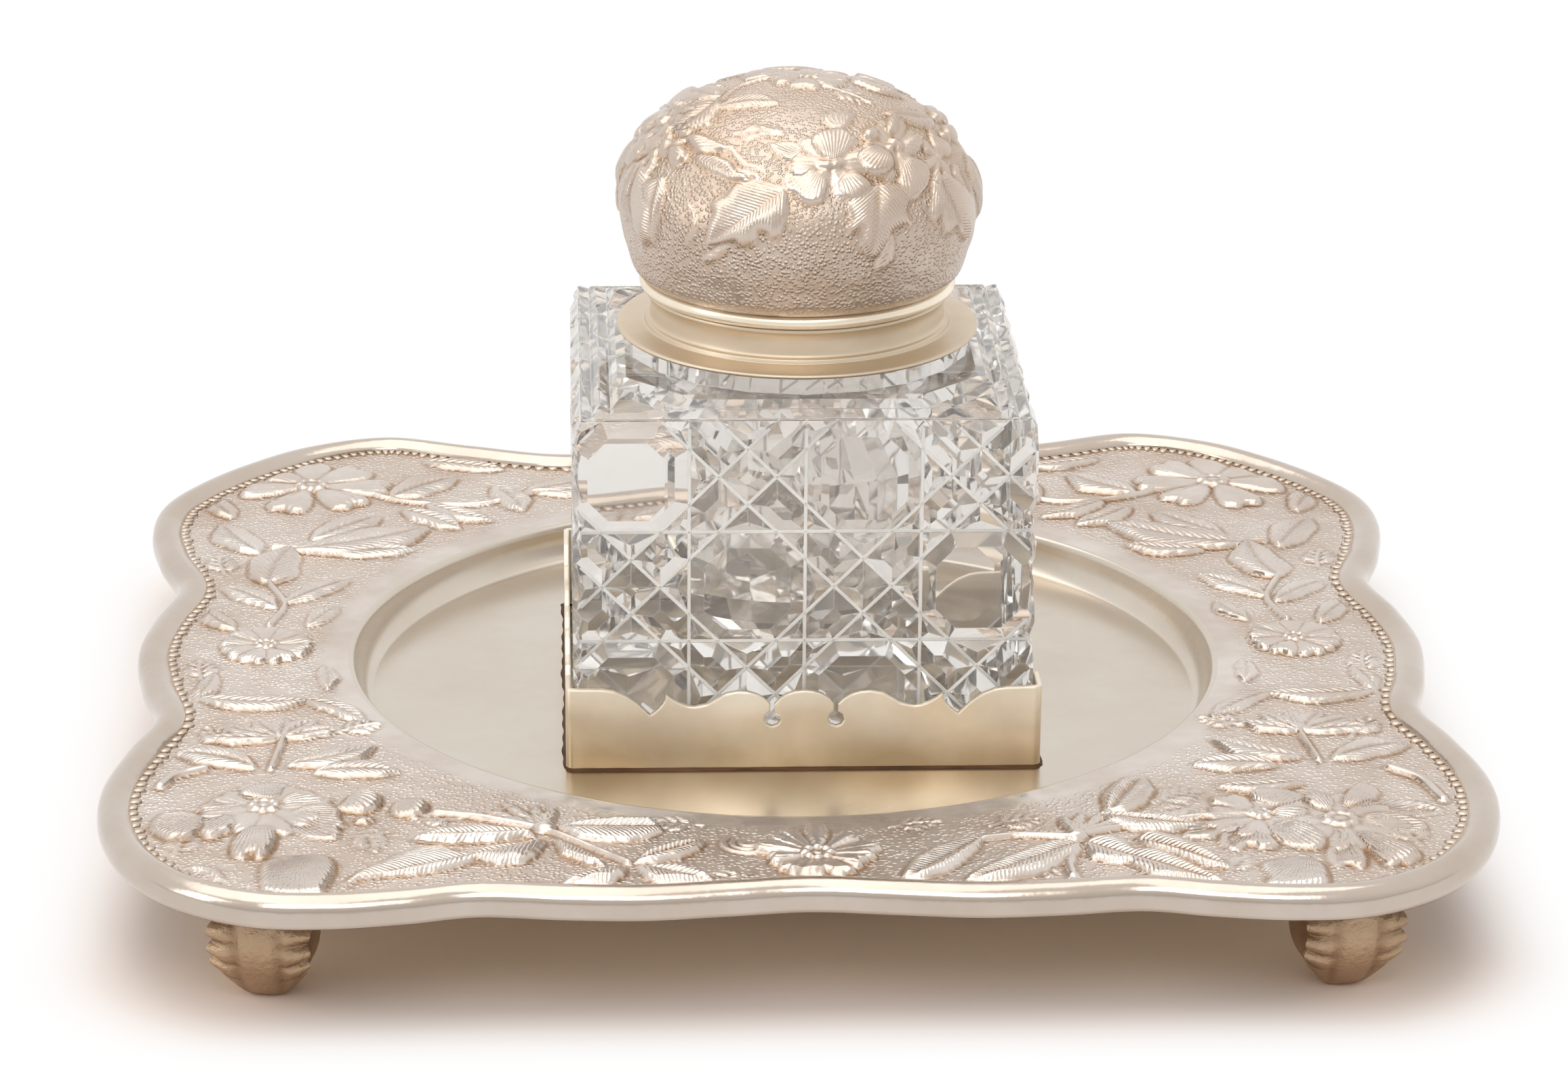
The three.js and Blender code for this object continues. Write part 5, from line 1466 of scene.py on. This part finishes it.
# %% Shapes on the front of the lid
# The corners of each: across and up from its foot, in millimetres.
bouquet_petals = [
    ([(0.8, 29.4), (2.6, 31.1), (6, 31.2), (7.2, 29.7), (6.9, 27.3), (5.3, 25.6), (2.8, 25.6),
      (1.3, 27.3)], (4, 23)),
    ([(-5.5, 28.2), (-4.1, 28.9), (-1.2, 28.8), (-0.4, 27.4), (-1.6, 25.6), (-2.8, 25.3),
      (-4.4, 26.7)], (2.5, 25)),
    ([(-3.3, 22.5), (-2.3, 23.8), (-0.2, 24.5), (1, 24.2), (2.3, 23), (3.2, 22.1), (2.9, 20.5),
      (2.3, 19.1), (0.8, 18.5), (-0.8, 19.1), (-1.7, 20.2), (-3.1, 20.8)], (2.8, 25)),
    ([(4.3, 21.5), (4.8, 22.6), (7, 23.4), (8.9, 22.3), (9.9, 21), (9.3, 19.8), (8.2, 19),
      (6.3, 18.8), (5.1, 19.8)], (4.5, 25)),
    ([(7.4, 25.4), (8.1, 26.7), (10, 27.6), (12, 26.8), (13.6, 25.2), (13.8, 23.2),
      (12, 22.2), (9.7, 22.6), (8.4, 24)], (14, 28)),
    ([(8.6, 29.6), (10.2, 30.8), (11.9, 30.2), (11.8, 28.6), (9.8, 28)], (14, 27)),
    ([(14.8, 21.8), (15.3, 23.6), (16.6, 24.3), (19, 23.4), (20.8, 21.4), (20.4, 19.4),
      (18.4, 18), (16.3, 17.8), (14.8, 19.6)], (14.8, 27)),
    ([(15.6, 25.2), (17.4, 27), (20, 27), (20.6, 25.2), (18, 24.4)], (14.5, 27)),
    ([(13, 29), (14.4, 31.6), (16.6, 31.4), (16.4, 29.2), (14.6, 28.2)], (14.5, 26)),
]
bouquet_leaves = [
    ([(-3.2, 21.3), (-7.6, 22.2), (-10.9, 21.2), (-12.2, 19.3), (-15, 17.8), (-14.2, 16.6),
      (-14.9, 14.8), (-15.4, 11), (-11.9, 12.2), (-10.6, 12.6), (-9.5, 11.4), (-7.4, 12.6),
      (-6.9, 14.4), (-5.9, 14.2), (-4.9, 12.6), (-3.8, 14), (-2.6, 17), (-2.4, 19.6)],
     (-3, 20.9), (-14.6, 12)),
    ([(9, 21), (6.8, 19.6), (5.9, 18.4), (6.4, 16.2), (5.5, 13.8), (8, 14.6), (7.6, 12.2),
      (8.9, 10.2), (10.4, 9.8), (11.6, 11.6), (13, 13.6), (14.4, 14.2), (16.9, 14),
      (15.9, 16.4), (17, 18.6), (14.5, 20.4), (12, 21.2)], (11, 21), (9.6, 10.4)),
    ([(21, 19.6), (25, 20.4), (29.6, 17.6), (33, 14.8), (33.5, 10.5), (30, 8), (26.6, 11.6),
      (23.6, 10.6), (22.8, 14.4), (21, 13.4), (19.6, 15.3), (20.8, 17.3)], (23, 20), (30, 8.6)),
]
spray_petals = [
    ([(-4.2, 26.8), (-1.6, 27.8), (1.4, 27.6), (4.6, 26.6), (2.2, 25.4), (-0.8, 25)], (-7, 24)),
    ([(-9.6, 27), (-7.8, 28.8), (-5.8, 30), (-4.4, 31.2), (-3.8, 29.6), (-5.4, 27.8),
      (-8, 26.6)], (-7, 24)),
    ([(-13.4, 22.8), (-11.8, 25.2), (-9.4, 25.8), (-8.8, 23.4), (-11, 21.8)], (-7, 24)),
    ([(-6.4, 24.2), (-3.6, 25.2), (-1.6, 24), (-2.4, 22), (-5, 22)], (-8, 24.5)),
]
spray_leaves = [
    ([(0.4, 24.9), (3.6, 25.2), (6.2, 24.6), (7.4, 23.4), (9.3, 22.8), (10.6, 21.8),
      (7.5, 21.4), (4, 22.2), (0.8, 23.2), (-1, 24)], (0, 24), (10.4, 22)),
    ([(-10.2, 16.4), (-8.4, 18.6), (-4.3, 20), (-3, 18), (-3, 14), (-3.6, 11.4), (-4.3, 8.8),
      (-5.8, 10.2), (-7, 11.6), (-8.6, 13.4)], (-5, 20), (-4.5, 9.2)),
    ([(-14.6, 19.6), (-11.6, 20.6), (-11, 17), (-12, 13.4), (-13.6, 10.6), (-15, 12.6),
      (-16, 16)], (-12.4, 20), (-13.8, 11)),
]
print(len(bouquet_petals + spray_petals), "petals,", len(bouquet_leaves + spray_leaves), "leaves")

# %% Bouquet, spray and scrolls


def lid_bouquet(relief):
    """One open flower with a smaller one beside it, and torn leaves that hang below."""
    for outline, root, tip in bouquet_leaves:
        relief.cut(outline, 0.95, root, 0.6, 0.8, midrib=tip)
    relief.fan((5, 30.6), [(56, 5.6), (70, 6.2), (84, 6.4), (98, 6.2), (112, 5.6)], 1.8, 0.6)
    relief.fan((23.5, 22.5), [(a, 5) for a in (20, 75, 130, 190, 250, 310)], 2.0, 0.7)
    relief.leaf((-2.2, 30.8), (-7.6, 31.8), 1.8, 0.6, 0.2, veins=4)
    relief.leaf((12.8, 13.6), (10.4, 7.4), 2.8, 0.75, 0.5, veins=4)
    relief.leaf((-11.6, 12.4), (-16.4, 8.6), 2.0, 0.5, 0.4, veins=3)
    relief.stem([(-6.5, 24), (-9, 24.4), (-11.5, 27)], 0.8, 0.5)
    relief.stem([(-7, 22.6), (-10, 23.2), (-12, 22.4)], 0.8, 0.5)
    for centre, reach in (((3.6, 25), 6.2), ((14.4, 26.4), 5.6)):
        relief.flower(centre, [(60 * k, reach, 0.9 * reach) for k in range(6)], 0.6, 1.0, 0, 4)
    for outline, root in bouquet_petals:
        relief.cut(outline, 1.1, root, 0.5, 0.6, round_off=True)
    relief.stem([(2.2, 24.9), (3.8, 24.6), (5.2, 25)], 1.3, 0.8)
    for centre in ((14.3, 27), (13.4, 26.2), (15.2, 26.2), (23.5, 22.5), (3.2, 24.7), (4.4, 24.7)):
        relief.bead(centre, 0.8, 1.0)


def lid_leaf_flower(relief):
    """The looser spray at the side, with pointed leaves to left and right."""
    for outline, root, tip in spray_leaves:
        relief.cut(outline, 0.95, root, 0.6, 0.8, midrib=tip)
    relief.stem([(1.8, 17), (3.4, 16), (3.8, 13.6), (2.6, 11.4)], 0.9, 0.35)
    relief.leaf((-4, 27), (-11, 33), 5.0, 0.7, 0.8, veins=6)
    relief.sprig((3, 29.5), 20, 6, 0.4, 3)
    for outline, root in spray_petals:
        relief.cut(outline, 1.0, root, 0.5, 0.6, round_off=True)
    relief.bead((-7.4, 24.2), 1.2, 1.0)


def lid_scrolls(relief):
    """Small punched scrolls on the band above the foot."""
    for k, middle in enumerate(np.linspace(-36, 36, 9)):
        bow = 2.2 + 0.5 * math.sin(3 * k)
        points = [(-bow, 8.6), (-1.5, 6.6), (1, 6.2), (bow, 7.8)]
        relief.stem(np.add(points, [middle, 0]), 0.55, 0.14)


# %% Relief of the lid
lid_h, lid_phase, lid_comb = np.zeros((3, turn_count, arc_count))


def lay(patch):
    """Lays a patch of relief over the dome where it is the higher one."""
    layers = [v.reshape(lid_h.shape) for v in (patch.h, patch.phase, patch.comb)]
    higher = layers[0] > lid_h
    for whole, layer in zip((lid_h, lid_phase, lid_comb), layers):
        whole[higher] = layer[higher]


for middle_degrees, ornament in (
    (0, lid_bouquet), (-45, lid_leaf_flower), (95, lid_leaf_flower), (150, lid_bouquet),
    (-125, lid_bouquet), (0, lid_scrolls), (180, lid_scrolls),
):
    patch = lid_patch(middle_degrees)
    patch.edge, patch.torn = 0.5, 0.0
    ornament(patch)
    lay(patch)
map_r = dome_run[-1] - arc
crown_map = Relief(map_r * np.sin(lid_turn)[:, None], -map_r * np.cos(lid_turn)[:, None])
for root, tip, *shape in (
    ((-13, -7.5), (-3.0, -9.5), 4.4, 0.8, 1.2, 8), ((-12, -4), (-20, -9), 8.0, 0.9, 1.0, 7),
    ((-12, -3), (-16, 6), 7.0, 0.8, 0.8, 7), ((-8, 3), (-1.5, 9.5), 6.5, 0.7, 0.6, 7),
    ((8, 6), (16, 0), 7.0, 0.8, -0.8, 7), ((9, 8), (16, 12), 6.5, 0.8, 0.8, 7),
    ((4, 14), (-7, 17), 7.5, 0.8, 0.8, 8),
):
    crown_map.leaf(root, tip, *shape)
crown_map.sprig((4, -3), -30, 8, 0.5, 3)
crown_map.sprig((-4, 12), 200, 8, 0.5, 3)
crown_map.stem([(-13, -6), (-9, 0), (-2, 2.5), (5, 1), (9, 6)], 0.9, 0.5)
crown_map.flower((1.5, 1.5), [(60 * k + 20, 6.0, 6.2) for k in range(6)], 0.75, 1.5, 7, 4)
lay(crown_map)
band = 1.5  # mm above the foot where the ornament may begin
lid_share = 0.95  # of the drawn heights
lid_h = soften(lid_h) * lid_share * np.clip((arc - band) / 2.0, 0, 1)
print(f"the relief of the lid stands up to {lid_h.max():.2f} mm high")

# %% Lid shell
# the depth below the neighbours darkens the colour: tarnish in the hollows, with painted shade at
# the foot of each shape
lid_hollow = grid_hollow(lid_h, 2)
lid_ground = np.clip(1 - lid_h / 0.22, 0, 1) * np.clip(arc / 2, 0, 1)
# The ground lies 0.3 mm under the skin of the solid, and 0.65 mm near the crown, so that the
# flowers stay inside its box.
sunk = 0.3 + 0.35 * np.clip((arc / arc[-1] - 0.7) / 0.15, 0, 1)
push = np.where(arc > band, lid_h - sunk * np.clip((arc - band) / 3, 0, 1), 0)


def round_axis(radius, height):
    """Points of rings about the lid's axis, from the back round by the left."""
    return np.stack([
        axis_x + radius * np.sin(lid_turn)[:, None], -radius * np.cos(lid_turn)[:, None],
        height + 0 * lid_turn[:, None],
    ], axis=2)


wall = 0.9  # thickness of the dome
foot_z = lid_low[2]
every_eighth = slice(None, None, -8)  # from the crown down to the foot
inner_r = np.maximum(dome_r[every_eighth] - wall, 0.002)
inner_z = dome_z[every_eighth] - wall * np.clip(-slope[every_eighth, 0] + 0.2, 0, 1)
ring_r = np.concatenate([inner_r, [22.0, 22.6, 22.6, 23.2]])
ring_z = np.concatenate([inner_z, [foot_z, foot_z, foot_z + 1.9, foot_z + 2.0]])
inside = round_axis(ring_r, ring_z)
shell = np.concatenate(
    [inside, round_axis(dome_r + push * slope[:, 1], dome_z - push * slope[:, 0])], axis=1
)
columns = shell.shape[1]
inner_cap = (np.arange(turn_count) * columns)[None, ::-1]
outer_cap = (np.arange(turn_count) * columns + columns - 1)[None, :]
plain = np.zeros(inside.shape[:2])  # the inside has no ornament
make_piece(
    "embossed_lid", shell, [grid_faces(turn_count, columns, True), inner_cap, outer_cap],
    lid_silver, "lid", "lid_silver", ["lid"],
    hollow=np.hstack([plain, lid_hollow]), ground=np.hstack([plain, lid_ground]),
    phase=np.hstack([plain, lid_phase]), comb=np.hstack([plain, lid_comb]),
)
